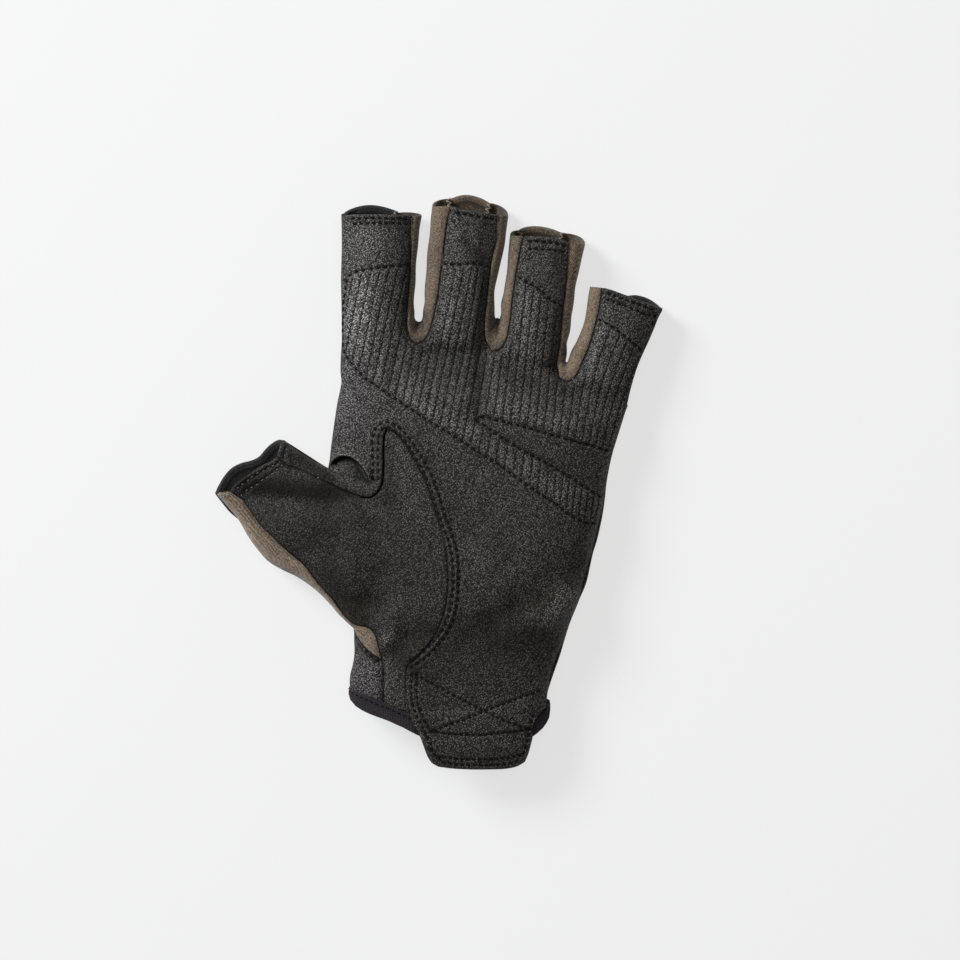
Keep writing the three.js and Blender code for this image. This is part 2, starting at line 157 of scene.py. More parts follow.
DIGITS = {
    "index": [(-35.5, 108.9, -6.4, 108.9, 14.4, 7.3, 0, 2.5), (-35.5, 98.3, -6.8, 98.3, 14.4, 7.3, 0, 2.5),
              (-35.5, 83.5, -7.5, 83.5, 15.0, 7.3, 0, 2.4), (-35.7, 70.3, -8.6, 70.3, 15.7, 7.3, 0, 2.4),
              (-35.6, 62.9, -8.6, 62.9, 15.8, 7.3, 0, 2.4), (-35.5, 58.5, -6.3, 58.5, 15.4, 7.3, 0, 2.4),
              (-35.3, 50.0, -2.0, 50.0, 14.4, 7.4, 0, 2.4), (-33.5, 32.0, -1.0, 32.0, 11.5, 7.0, 0, 2.5)],
    "middle": [(-1.1, 111.5, 27.2, 111.5, 15.0, 7.5, 0, 2.5), (-2.4, 98.3, 25.9, 98.3, 15.0, 7.5, 0, 2.5),
               (-3.9, 83.5, 24.1, 83.5, 15.4, 7.5, 0, 2.4), (-4.6, 71.8, 21.5, 71.8, 16.2, 7.5, 0, 2.4),
               (-5.3, 62.9, 21.0, 62.9, 16.4, 7.5, 0, 2.4), (-6.4, 58.5, 21.7, 58.5, 16.0, 7.5, 0, 2.4),
               (-10.5, 50.0, 25.9, 50.0, 14.8, 7.5, 0, 2.4), (-11.0, 30.0, 26.0, 30.0, 12.5, 7.0, 0, 2.5)],
    "ring": [(28.2, 101.6, 56.1, 101.6, 14.4, 7.3, 0, 2.5), (26.3, 86.5, 54.3, 86.5, 14.4, 7.3, 0, 2.5),
             (24.8, 74.7, 51.3, 74.7, 15.2, 7.3, 0, 2.4), (23.2, 65.9, 49.9, 65.9, 15.8, 7.4, 0, 2.4),
             (22.4, 60.0, 49.3, 60.0, 15.8, 7.5, 0, 2.4), (17.5, 48.2, 47.8, 48.2, 14.8, 7.5, 0, 2.4),
             (15.5, 28.0, 50.4, 28.0, 12.0, 7.0, 0, 2.5)],
    "little": [(58.5, 78.4, 86.5, 78.4, 13.0, 7.0, 0, 2.5), (55.8, 68.8, 83.5, 68.8, 13.0, 7.0, 0, 2.5),
               (53.5, 60.0, 81.5, 60.0, 13.4, 7.2, 0, 2.4), (50.2, 51.2, 78.6, 51.2, 13.8, 7.4, 0, 2.4),
               (48.0, 46.0, 76.7, 46.0, 13.8, 7.4, 0, 2.4), (42.5, 35.3, 72.5, 35.3, 13.6, 7.5, 0, 2.4),
               (38.7, 20.3, 63.6, 20.3, 10.5, 7.0, 0, 2.5)],
    "thumb": [(-92.0, 5.7, -63.6, 25.8, 15.8, 8.0, 0.9, 2.3), (-83.0, -4.0, -56.1, 14.7, 16.0, 8.0, 0.6, 2.3),
              (-77.8, -10.7, -50.6, 10.7, 16.6, 8.0, 0.3, 2.3), (-70.5, -18.4, -44.7, 7.0, 17.8, 7.8, 0, 2.3),
              (-64.2, -27.2, -38.8, 3.7, 19.4, 7.6, 0, 2.3), (-53.5, -34.2, -32.2, -1.1, 20.8, 7.6, 0, 2.3),
              (-42.5, -43.1, -25.6, -6.6, 21.6, 7.6, 0, 2.3), (-33.7, -52.3, -19.3, -15.1, 21.0, 7.5, 0, 2.3),
              (-27.6, -60.4, -11.8, -24.7, 16.5, 7.5, 0, 2.3)],
}


class Tube:
    def __init__(self, rows):
        r = np.array(rows, float)
        mid = (r[:, 0:2] + r[:, 2:4]) / 2
        t = np.r_[0, np.cumsum(np.linalg.norm(np.diff(mid, axis=0), axis=1))]
        self.t = np.linspace(0, t[-1], 240)
        self.c = hermite(t, r, self.t)

    def at(self, t):
        return [np.interp(t, self.t, self.c[:, k]) for k in range(8)]

    def place(self, p):
        n = len(p)
        lo, hi = np.zeros(n), np.full(n, self.t[-1])

        def f(t):
            lx, ly, rx, ry = self.at(t)[:4]
            return ((rx - lx) * (p[:, 1] - ly) - (ry - ly) * (p[:, 0] - lx)) / np.hypot(rx - lx, ry - ly)
        tip, root = np.clip(f(lo), 0, None), np.clip(-f(hi), 0, None)
        for _ in range(16):
            m = (lo + hi) / 2
            below = f(m) < 0
            lo, hi = np.where(below, m, lo), np.where(below, hi, m)
        t = (lo + hi) / 2
        lx, ly, rx, ry, top, wide, under, square = self.at(t)
        dx, dy = rx - lx, ry - ly
        l2 = dx * dx + dy * dy
        u = 2 * ((p[:, 0] - lx) * dx + (p[:, 1] - ly) * dy) / l2 - 1
        return u, np.sqrt(l2) / 2, tip + root, top, wide, under, square

    def top(self, p, inset=0.0, place=None):
        u, half, past, top, wide, under, square = place or self.place(p)
        a = np.abs(u) * half / (half - inset)
        core = np.clip(1 - np.minimum(a, 1) ** square, 0, None) ** (1 / square)
        z = wide + (top - inset - wide) * core
        return z - 2.5 * np.clip(a - 1, 0, None) * half - 2.0 * past

    def low(self, p, inset=0.0):
        u, half, past, top, wide, under, square = self.place(p)
        a = np.abs(u) * half / (half - inset)
        core = np.clip(1 - np.minimum(a, 1) ** square, 0, None) ** (1 / square)
        z = wide - (wide - under - inset + SAG) * core
        return np.maximum(z, under + inset) + 2.5 * np.clip(a - 1, 0, None) * half + 2.0 * past


TUBES = {"hand": Tube(HAND), **{k: Tube(v) for k, v in DIGITS.items()}}


def smax(a, b, k):
    h = np.clip(k - np.abs(a - b), 0, None) / k
    return np.maximum(a, b) + h * h * k / 4


def body_top(p, inset=0.0):
    z = TUBES["hand"].top(p, inset)
    for name, k in (("index", 4.0), ("middle", 4.0), ("ring", 4.0), ("little", 4.0), ("thumb", 5.0)):
        z = smax(z, TUBES[name].top(p, inset), k)
    return z


def body_low(p, inset=0.0):
    z = TUBES["hand"].low(p, inset)
    for name in DIGITS:
        z = -smax(-z, -TUBES[name].low(p, inset), 2.0)
    return np.maximum(z, inset)


# ---------------------------------------------------------------------------
# Folds and dents of the palm side. A row is start, end, width, height (mm).
# ---------------------------------------------------------------------------
FOLDS = [
    # x0, y0, x1, y1, width, height
    (248, 498, 330, 503, 4.2, -2.0), (262, 520, 306, 530, 5.0, 0.8), (300, 476, 342, 491, 2.2, 0.5),
    (292, 552, 336, 556, 4.0, -1.1), (330, 560, 372, 566, 6.0, 0.6),
    (340, 600, 388, 604, 4.0, -1.3), (384, 622, 400, 606, 3.2, 0.9), (352, 520, 378, 540, 6.0, 0.5),
    (396, 652, 414, 636, 3.6, -1.2), (384, 642, 392, 628, 3.0, 1.0), (372, 622, 380, 640, 2.4, -0.6),
    (478, 634, 520, 604, 6.0, -1.3), (520, 600, 572, 560, 5.0, -1.3),
    (546, 622, 566, 596, 4.6, 1.3), (480, 560, 500, 540, 7.0, 0.6), (430, 600, 470, 620, 6.0, 0.4),
    (484, 345, 478, 415, 3.2, -1.3), (505, 384, 530, 400, 4.0, 0.9), (428, 352, 474, 356, 3.5, -1.3), (506, 366, 556, 376, 3.5, -1.3), (582, 390, 618, 398, 3.5, -1.0),
    (420, 388, 458, 404, 4.0, 0.8), (345, 356, 372, 376, 3.0, -0.6), (346, 384, 384, 412, 2.6, -0.7), (348, 400, 360, 420, 3.5, 0.4),
    (352, 442, 366, 456, 3.0, -0.5), (364, 425, 372, 445, 3.0, -0.4),
    (470, 246, 488, 262, 2.6, -0.5), (455, 236, 470, 258, 2.6, 0.45),
    (530, 262, 552, 280, 2.6, -0.5), (395, 232, 398, 330, 3.5, -0.6), (484, 240, 482, 330, 2.8, -0.5), (548, 285, 545, 350, 3.0, -0.6), (372, 250, 370, 330, 5.0, 0.4),
    (470, 640, 540, 640, 7.0, -0.5), (455, 690, 520, 680, 6.0, 0.4), (420, 690, 430, 712, 3.0, 0.4),
    (566, 470, 596, 488, 4.0, -0.4), (505, 470, 540, 500, 5.0, -0.3), (560, 425, 598, 432, 4.0, 0.5), (368, 650, 372, 690, 4.0, 0.5), (384, 662, 384, 698, 1.6, -0.4),
]
# the bunched fold at the thumb crotch: leather rises to its edge and drops
# into a small pocket on the thumb side
CROTCH = curve([(329, 466), (334, 460), (341, 456.4), (348, 456.3), (355.6, 459.7), (362.5, 467), (368, 476), (371, 484)])


def folds(p):
    z = np.zeros(len(p))
    for x0, y0, x1, y1, width, height in FOLDS:
        line = P([(x0, y0), (x1, y1)])
        d, _ = distance(p, line, reach=width * 2.6)
        z += height * np.exp(-(d / width) ** 2)
    d, along = distance(p, CROTCH, reach=9.0)
    total = np.linalg.norm(np.diff(CROTCH, axis=0), axis=1).sum()
    # which side of the fold a point is on
    k = np.clip((along / total * (len(CROTCH) - 1)).astype(int), 0, len(CROTCH) - 2)
    tangent = CROTCH[k + 1] - CROTCH[k]
    rel = p[:, :2] - CROTCH[k]
    pocket = (tangent[:, 0] * rel[:, 1] - tangent[:, 1] * rel[:, 0]) < 0
    q = along / total
    fade = smoothstep(-0.02, 0.12, q) * (1 - smoothstep(0.86, 1.0, q))
    ridge = 0.95 * np.exp(-((d - 0.55) / 0.75) ** 2) + 0.25 * np.exp(-(d / 3.5) ** 2)
    drop = -2.5 * smoothstep(0.0, 0.8, d) * np.exp(-(np.clip(d - 0.8, 0, None) / 2.9) ** 2) + 0.62 * (1 - smoothstep(0.0, 0.45, d))
    z += np.where(d < 9.0, fade * np.where(pocket, drop, np.maximum(ridge, 0.62 * (1 - smoothstep(0, 0.6, d)))), 0.0)
    return z


# Painted light and shade on the leather, zone by zone: a row is centre, reach across,
# reach along (steps), darkening (halvings; above zero a painted highlight) and brownness (warmer in the painted shade,
# cooler on the lit side).
PAINTED_SHADE_ZONES = [
    # x, y, reach x, reach y, shade, brown
    (366, 238, 34, 30, 0.75, -0.5), (362, 315, 30, 50, 0.95, -0.45), (470, 270, 28, 60, 0.25, 0.0), (545, 290, 30, 60, 0.25, 0.0), (620, 330, 34, 40, 0.2, 0.05), (560, 608, 16, 20, 0.3, 0.0), (350, 405, 26, 46, 0.35, -0.9), (364, 676, 24, 26, 0.45, -0.9),
    (500, 640, 80, 44, -0.62, 0.35), (440, 676, 40, 34, -0.35, 0.1), (480, 706, 80, 28, 0.05, 0.2), (330, 550, 70, 60, -0.70, 0.2), (410, 570, 40, 60, -0.55, 0.15), (500, 545, 44, 50, 0.0, 0.12),
]
# Painted shade and painted highlights in streaks: start, end, width (steps), darkening (halvings; above zero lighter),
# brown
PAINTED_SHADE_STREAKS = [
    (403, 222, 404, 330, 7, -1.1, 0.1), (486, 225, 478, 335, 7, -1.0, 0.15), (470, 250, 486, 264, 6, -0.5, 0.1), (456, 222, 448, 330, 7, 0.35, 0.0),
    (558, 255, 550, 365, 7, -1.0, 0.15), (526, 300, 524, 352, 8, 0.65, 0.0), (604, 310, 586, 396, 8, 0.5, 0.0), (645, 315, 622, 385, 9, -0.45, 0.1), (366, 225, 360, 340, 14, 0.2, -0.1), (348, 300, 346, 420, 9, 0.3, -0.2), (366, 286, 364, 344, 9, 0.5, -0.1), (448, 308, 446, 348, 8, 0.4, 0.0),
    (428, 350, 460, 357, 9, -0.85, -0.1), (478, 345, 480, 420, 8, -0.9, 0.1), (505, 372, 560, 392, 9, -0.65, -0.1), (552, 362, 568, 388, 9, -0.7, 0.0), (538, 326, 538, 350, 7, 0.45, 0.0), (408, 366, 470, 374, 10, -0.3, 0.0), (588, 392, 618, 400, 9, -0.6, 0.05), (396, 345, 386, 384, 5, -0.55, 0.0),
    (405, 394, 470, 434, 9, 0.5, 0.0), (492, 404, 560, 422, 9, 0.4, 0.0), (500, 454, 560, 494, 9, 0.45, 0.0), (500, 434, 590, 484, 4, -0.35, 0.05),
    (420, 440, 450, 530, 8, -0.35, 0.05), (468, 544, 492, 600, 11, 0.15, 0.0), (452, 502, 474, 530, 9, -0.55, 0.05), (480, 500, 506, 555, 7, -0.4, 0.1), (522, 540, 510, 590, 12, 0.2, 0.0),
    (484, 618, 540, 598, 9, -0.55, 0.3), (540, 598, 584, 560, 8, -0.5, 0.35), (490, 642, 548, 634, 14, -0.7, 0.35), (548, 622, 567, 592, 8, 1.4, -0.2), (590, 500, 570, 580, 6, -0.35, 0.4),
    (244, 482, 338, 494, 10, -2.7, 1.1), (286, 512, 318, 522, 7, 0.45, -0.1), (232, 506, 330, 526, 13, -0.95, 0.2), (242, 472, 302, 458, 10, -0.5, 0.1), (330, 565, 350, 620, 10, -0.8, 0.5), (352, 602, 376, 640, 8, -0.7, 0.8), (366, 600, 394, 624, 10, -0.8, 0.5), (390, 650, 410, 664, 9, -0.8, 0.6), (386, 640, 392, 624, 6, 1.3, -0.3),
    (402, 655, 428, 628, 9, -1.1, 0.8), (300, 560, 330, 590, 8, -0.4, 0.2), (292, 456, 332, 478, 7, -0.6, 0.4), (350, 386, 378, 412, 5, -0.4, 0.0), (372, 660, 374, 690, 6, 0.3, -0.3),
    (390, 500, 352, 494, 10, -0.6, 0.1), (385, 448, 388, 496, 9, -0.95, 0.05), (320, 506, 386, 520, 11, -0.4, 0.05), (352, 466, 366, 480, 7, -0.5, 0.1), (418, 690, 428, 722, 8, -0.2, 0.1), (412, 668, 440, 676, 8, -0.4, 0.2),
]


# Painted light and shade for each vertex: darkening or lightening in halvings, and the brown tint that goes with it.
def painted_shading(p):
    shade, brown = np.zeros(len(p)), np.zeros(len(p))
    for x, y, rx, ry, s, b in PAINTED_SHADE_ZONES:
        c = P([(x, y)])[0]
        g = np.exp(-((p[:, 0] - c[0]) / (rx * U)) ** 2 - ((p[:, 1] - c[1]) / (ry * U)) ** 2)
        shade += s * g
        brown += b * g
    for x0, y0, x1, y1, width, s, b in PAINTED_SHADE_STREAKS:
        d, _ = distance(p, P([(x0, y0), (x1, y1)]), reach=width * U * 2.6)
        g = np.exp(-(d / (width * U)) ** 2)
        shade += s * g
        brown += b * g
    return shade, np.clip(brown, -1, 1)


# ---------------------------------------------------------------------------
# Seams, edges and outlines
# ---------------------------------------------------------------------------
# side strips between the fingers: a row is a point of the palm seam, the
# point of the outline beside it, how far the strip goes under (mm), and how
# much higher its under edge ends at the slanting mouth (steps)
FORKS = {
    "fourchette_index_middle": [
        (412, 216, 421.5, 215.5, 9.0, 6), (411.4, 226, 419.9, 226, 8.6, 2.5), (411, 240, 418.4, 240, 8.0, 0), (410.6, 260, 416.4, 260, 7.0, 0), (409.8, 280, 415.3, 280, 6.0, 0),
        (407.6, 312, 413.9, 311, 6.0, 0), (408.2, 330, 414.6, 317.5, 5.5, 0), (412, 340, 417, 320, 5.0, 0), (417.5, 343.6, 419.2, 320.6, 5.0, 0),
        (423.5, 341, 421.2, 320.3, 5.0, 0), (428.8, 332, 423, 317, 5.0, 0), (432.8, 320, 423.3, 308, 5.5, 0), (437, 301, 424.4, 296, 5.5, 0),
        (440.8, 273, 426, 270, 5.5, 0), (444.2, 247, 427.9, 246, 5.5, 0), (446.6, 227, 430.2, 227, 5.5, 1), (449.0, 215, 431.0, 215, 5.6, 4.5), (451.8, 206.5, 431.8, 206.5, 5.8, 9.6)],
    "fourchette_middle_ring": [
        (498.4, 215.5, 508.2, 216.5, 6.6, 13.5), (497.2, 226, 507, 227, 6.5, 6), (496.4, 240, 505.2, 240, 6.5, 0), (492.8, 256, 502.9, 254, 6.5, 0), (489.2, 280, 497.0, 278, 6.5, 0),
        (486.6, 305, 494.0, 303, 6.5, 0), (484.9, 324, 495.4, 314, 6.0, 0), (486.8, 341, 496.4, 319.6, 5.5, 0), (493.4, 351.4, 497.5, 321, 5.0, 0),
        (500.2, 349, 499.0, 320, 5.0, 0), (505.2, 341, 500.2, 315, 5.0, 0), (509.2, 326, 501.3, 305, 5.0, 0), (512.3, 299, 503.4, 292, 4.5, 0),
        (516.0, 274, 506.4, 276, 4.0, 0), (519, 256, 507.8, 260, 3.6, 1), (521.2, 246, 509, 247, 3.4, 4), (523.5, 236.5, 510.0, 235.5, 3.3, 7.6)],
    "fourchette_ring_little": [
        (569.3, 244, 585.2, 244, 8.0, 12.5), (568.6, 253, 583.4, 253, 8.0, 6), (567.6, 267, 580.0, 267, 8.0, 0), (565.6, 288, 575.8, 287, 7.5, 0), (562.4, 314, 572.4, 314, 7.0, 0),
        (559.8, 346, 568.3, 340, 6.5, 0), (557.8, 369, 566.3, 355, 6.0, 0), (561.6, 379.2, 566.1, 360.4, 5.5, 0), (567.5, 381.4, 567.0, 361.4, 5.0, 0),
        (573.8, 378, 568.4, 358.6, 5.0, 0), (581.8, 363.5, 572.3, 350, 5.0, 0), (588.8, 347, 577.5, 339, 5.5, 0), (594.4, 328.5, 583.3, 326, 5.5, 0),
        (598.8, 310, 587.2, 306, 5.5, 0), (602.3, 287.8, 590.0, 286.3, 5.5, 1)],
}
# the long strip on the outer side of the thumb
GUSSET = [
    (230.5, 491.5, 216.4, 494.4, 0.8), (236, 495.5, 223.6, 502.2, 0.8), (243, 501, 230.6, 510.7, 0.9), (249, 509, 236.4, 518.0, 1.2), (254.4, 516.4, 241.0, 525, 3.0), (262, 526, 247.5, 536, 4.6),
    (272, 535.5, 256.5, 549, 5.0), (283, 546, 267, 561, 5.0), (293.8, 555.5, 281, 569.3, 5.0), (305, 565, 295, 576.2, 5.0),
    (314, 577, 307.5, 584.4, 5.0), (323, 588, 318, 592.3, 4.5), (333, 599.5, 328.5, 603, 4.5), (341.5, 611, 337.5, 614, 4.0), (348.5, 619.6, 346.5, 622.4, 3.5), (354.2, 624.2, 353.4, 628.4, 3.0)]
GUSSET_PATCH = [
    # the strip's end, on the palm side of the wrist: upper seam, lower seam
    (353.5, 624.0, 353.6, 628.2), (358.5, 625.4, 355.4, 632.4), (364.5, 626.2, 358.5, 637.5), (370.5, 628.6, 362.8, 643), (374.6, 633.2, 367, 647.6),
    (377, 639.5, 371, 651), (378.8, 646, 374.6, 653.8), (380.4, 652.4, 378.4, 656), (382, 658.2, 381.6, 658.8)]


def columns(rows, a, b):
    return [(r[a], r[b]) for r in rows]


def fork_lines(rows, count):
    """Palm seam, outline and under-seam of a strip, matched point for point."""
    r = np.array(rows, float)
    seam, edge = P(r[:, 0:2]), P(r[:, 2:4])
    t = np.r_[0, np.cumsum(np.linalg.norm(np.diff(seam, axis=0), axis=1) + np.linalg.norm(np.diff(edge, axis=0), axis=1))]
    all_ = hermite(t, np.c_[seam, edge, r[:, 4:]], np.linspace(0, t[-1], count))
    seam, edge, under = all_[:, 0:2], all_[:, 2:4], all_[:, 4]
    inward = seam - edge
    inward /= np.linalg.norm(inward, axis=1)[:, None]
    low = edge + inward * under[:, None]
    if r.shape[1] > 5:
        low[:, 1] += np.clip(all_[:, 5], 0, None) * U
    return seam, edge, low


SEAM = {name: fork_lines(rows, 200) for name, rows in FORKS.items()}
SEAM["thumb_gusset"] = fork_lines(GUSSET, 260)
F1, F2, F3 = (SEAM[n][0] for n in FORKS)
GUSSET_SEAM = SEAM["thumb_gusset"][0]
PATCH_UP = curve(columns(GUSSET_PATCH, 0, 1), 0.3)
PATCH_LOW = curve(columns(GUSSET_PATCH, 2, 3), 0.3)

INDEX_MOUTH = curve([(341, 215.6), (358, 215.2), (378, 215.2), (398, 215.6), (412, 216)])
MIDDLE_MOUTH = curve([(451.8, 206), (457, 208.8), (475, 212), (490, 214.5), (498.4, 215.5)])
RING_MOUTH = curve([(523.5, 236.5), (535, 237.2), (550, 238), (560, 239.4), (569.3, 244)])
LITTLE_MOUTH = curve([(602.3, 287.8), (612, 290.5), (624, 295.0), (643, 302), (655, 306.5), (662.5, 310.5)])
RIGHT_SIDE = curve([(662.5, 310.5), (659, 317), (655, 327), (649.5, 340), (643.5, 353), (638, 366), (633.5, 380), (629.8, 394),
                    (627.5, 404), (624.2, 413), (620.8, 424), (616.4, 438), (612.4, 451), (608.8, 466), (605.8, 483), (604.2, 498),
                    (602.3, 512), (599.6, 526), (596, 541), (592.3, 553), (589.4, 566), (586.6, 579), (582.8, 591), (577.2, 606),
                    (571, 621), (565.4, 638), (560.4, 655), (554.8, 671), (550.4, 684), (547.6, 694), (547, 700), (546.4, 706)])
CORNER_RIGHT = curve([(546.4, 706), (543.6, 709.2), (540.2, 712.2), (536.3, 716.7), (533.2, 723), (531.6, 728.6)])
TAB_SEAM = curve([(531.6, 728.6), (515, 730.6), (497, 732.4), (478, 733.6), (455, 732.8), (436, 731), (418.4, 729.4)])
PALM_LEFT_EDGE = curve([(418.4, 729.4), (414, 722), (410.8, 712)])
TAB_SIDE = curve([(410.8, 712), (408.0, 698), (406.4, 686), (406.2, 676), (408, 665)])
CRESCENT = curve([(387, 429), (395, 432.5), (404, 442), (412, 454), (419.5, 467), (427, 483), (433.5, 502), (441, 526),
                  (446.2, 548), (448.4, 568), (448.4, 586), (445.4, 609), (438.6, 628), (431, 641.5), (420, 654), (408, 665)])
WELT = curve([(364, 497.3), (371, 497.2), (377.5, 492.5), (382, 485), (383.6, 475), (384, 460), (384, 446), (384.8, 435), (387, 429)])
STRIP_SEAM = curve([(277.5, 457), (286, 464.2), (299, 469), (318, 477.6), (339, 487.6), (352, 493.4), (364, 497.3)])
STRIP_MOUTH = curve([(277.5, 457), (279.2, 451), (280.6, 445.6), (284, 440.4)])
STRIP_TOP = curve([(284, 440.4), (298, 449.2), (312, 458.2), (321, 464), (327.7, 468)])
LEFT_SIDE = curve([(327.7, 468), (329, 461), (330.6, 447), (332.8, 431), (335.2, 414), (337.6, 399.5), (340.2, 388), (341, 382), (340.2, 372),
                   (340.4, 358), (341.4, 341), (341.4, 322), (341, 300), (340.6, 280), (341.2, 256), (341.4, 236), (341, 215.6)])
THUMB_MOUTH = curve([(230.5, 491.5), (237.5, 483.2), (250, 474.4), (262.5, 466.0), (271, 462), (277.5, 457)])
BAND_TOP_LEFT = curve([(410.8, 712), (399, 707.2), (384.2, 700.6), (366, 693.4), (350, 687)])
BAND_UNDER_RIGHT = curve([(412.8, 717.2), (399, 712.2), (384.2, 705.6)])
BAND_UNDER_LEFT = curve([(384.2, 705.6), (366, 698.4), (351.8, 692)])
WRIST_SEAM = curve([(384.2, 705.6), (384.2, 683), (384.2, 668), (382, 658.5)])
WRIST_LEFT = curve([(353.8, 628.6), (353.8, 640), (354.0, 655), (352.4, 665), (349.8, 676), (349.8, 687), (351.8, 692)])

RIB_TOPS = {
    "index": [(347.4, 277.6), (355, 273), (362.5, 271), (379, 268.6), (395, 266.6), (410.6, 265)],
    "middle": [(441.8, 264.6), (459, 265.4), (470, 264.2), (480, 265), (491.6, 267.8)],
    "ring": [(516.6, 276.6), (530, 284), (542.5, 293), (552, 301), (563.6, 308)],
    "little": [(596.8, 318.6), (612, 327), (630, 341), (642.5, 352)],
}
DIAGONAL = [(347.4, 277.6), (343.8, 303), (342.4, 333), (344.4, 352), (351, 363), (362, 375), (383, 390.5), (406, 406), (427, 420), (454, 436.5),
            (481, 454), (502, 467), (519, 479.5), (554, 503), (582, 521.5), (588, 523.2), (596.4, 523)]
WEDGE = [(609.6, 451.4), (594, 446.8), (575, 442), (547, 434), (522, 427), (498, 421), (482, 418.2), (477.6, 420.4), (486, 427), (498, 435.6),
         (519, 448.6), (547, 464), (575, 481), (602, 498)]
BAND_END = [(602, 498), (604.4, 505), (601.6, 514), (596.4, 523)]
STITCH_LINES = {
    "rib_index": RIB_TOPS["index"], "rib_middle": RIB_TOPS["middle"], "rib_ring": RIB_TOPS["ring"], "rib_little": RIB_TOPS["little"],
    "diagonal": DIAGONAL, "wedge": WEDGE,
    "hem_index_a": [(350, 218.9), (365, 218.7), (380, 218.7), (398, 219), (409, 219.4)], "hem_index_b": [(352, 224.4), (366, 224), (384, 223.8), (398, 224), (409, 224.6)],
    "hem_middle": [(455, 213), (470, 216), (484, 218.6), (495, 219.6)],
    "hem_ring_a": [(526.6, 241.8), (540, 242.4), (553, 243.4), (566.6, 247.4)], "hem_ring_b": [(526.4, 249.4), (540, 249.8), (553, 250.8), (565, 252.6)],
    "hem_little_a": [(605.6, 293), (616, 296.4), (630, 301.6), (645, 307), (654, 310.4)], "hem_little_b": [(604.6, 298.8), (616, 302.6), (630, 308), (645, 314), (651.6, 316.6)],
    "hem_little_c": [(656.2, 312.6), (654.6, 319), (652, 327.6)],
    "cross_a": [(413.5, 672), (432, 682), (455, 694.4), (485.4, 710.3), (506, 720), (529, 728)],
    "cross_b": [(431.8, 729.4), (456, 721), (485, 709.6), (512, 699.4), (541, 689.6)],
    "tab_seam": [(428, 729.6), (452, 732.4), (478, 733.6), (505, 731.4), (530, 728.2)],
    "tab_left_a": [(413, 671), (411.6, 684), (412.4, 698), (416, 712), (423, 727), (429.6, 740), (434.6, 752), (441, 759.6)],
    "tab_left_b": [(418, 674), (416.8, 686), (418, 699), (422, 712), (429.6, 728)],
    "tab_low_a": [(436, 754.6), (450, 757), (470, 758.2), (492, 758), (510, 756.6), (522, 753)],
    "tab_low_b": [(441, 760.6), (455, 763), (475, 764), (495, 763.8), (510, 762.6), (519, 760)],
    "tab_right": [(533.4, 712), (530.6, 722), (528.6, 732), (525.6, 744), (522.4, 754.6)],
    "crescent_a": [(373.4, 482), (373.4, 470), (373.4, 455), (373.6, 440), (375.4, 431), (380, 425.2), (386.6, 422.4), (394.6, 424.4), (402.7, 430.6), (411, 440),
                   (418.7, 451.7), (426.8, 465), (434.6, 481), (441, 500), (446.6, 518), (452, 532), (456.6, 547), (458.8, 563), (459, 584), (457, 605),
                   (452.6, 621), (446, 634), (435, 648), (421, 660.6), (409, 667.6)],
    "crescent_b": [(378.6, 482), (378.6, 470), (378.6, 455), (378.9, 441), (381, 432.6), (387, 427.6), (393, 429.6), (399.6, 435.2), (407.6, 444.2),
                   (414.4, 455), (422, 468), (429.4, 483.6), (435.4, 502), (441, 520), (446.8, 534.6), (451.2, 548.6), (453.4, 564), (453.4, 584),
                   (451.4, 604.4), (447.2, 619), (441, 631), (430.8, 644), (418, 655.6), (410, 661)],
    "thumb_hem_a": [(236, 489.4), (243, 484), (253, 477.2), (265, 470), (274, 465.4), (281.6, 460.4)],
    "thumb_hem_b": [(239.6, 496.6), (246, 491.6), (256, 485), (267, 477.6), (277.7, 469.6), (285.6, 464.4)],
    "patch_low": [(364.4, 648.4), (369, 653), (375, 657.8), (381, 661.6)],
    "strip_hem": [(284.4, 458.6), (285, 452), (287.4, 446.6)],
}
THREADS = {name: curve(points, 0.25) for name, points in STITCH_LINES.items()}
LIGHT_THREADS = ("thumb_hem_a", "thumb_hem_b", "strip_hem")

QUILT_LOOP = np.r_[
    curve(RIB_TOPS["index"]), P([(410.4, 268)]), curve([(408.4, 290), (404.6, 318), (405.6, 336), (411, 345.5), (418, 347.6), (426, 344.6), (432, 335), (437, 320), (440.6, 300), (443.6, 280)]),
    curve(RIB_TOPS["middle"]), curve([(489.6, 270), (486, 286), (482.4, 308), (481, 328), (483, 343), (489.6, 354), (496.6, 354.6), (504.4, 349), (509.6, 338), (513, 318), (516.6, 294)]),
    curve(RIB_TOPS["ring"]), curve([(562.4, 312), (558, 334), (554.6, 362), (557, 377.6), (565.6, 385), (574, 383), (583, 372), (589.6, 357), (594.6, 340)]),
    curve(RIB_TOPS["little"]), curve([(642.5, 352), (640, 366), (634, 384), (627, 408), (619, 430), (612, 450)]),
    curve(WEDGE), curve(BAND_END), curve(DIAGONAL)[::-1]]


def rib_phase(p):
    """Position across the wavy quilting lines; a line runs where it is whole."""
    x, y = p[:, 0], p[:, 1]
    lean = np.interp(x, [-36, -8, 12, 26, 42, 56, 66, 82], [0.20, 0.22, 0.20, 0.12, 0.10, 0.20, 0.34, 0.42])
    wave = 0.10 * np.sin(y * 1.9 + 1.7 * np.sin(x * 0.21)) + 0.05 * np.sin(y * 3.7 + 2 * x)
    return (x - (y - 30) * lean - wave) / 3.1


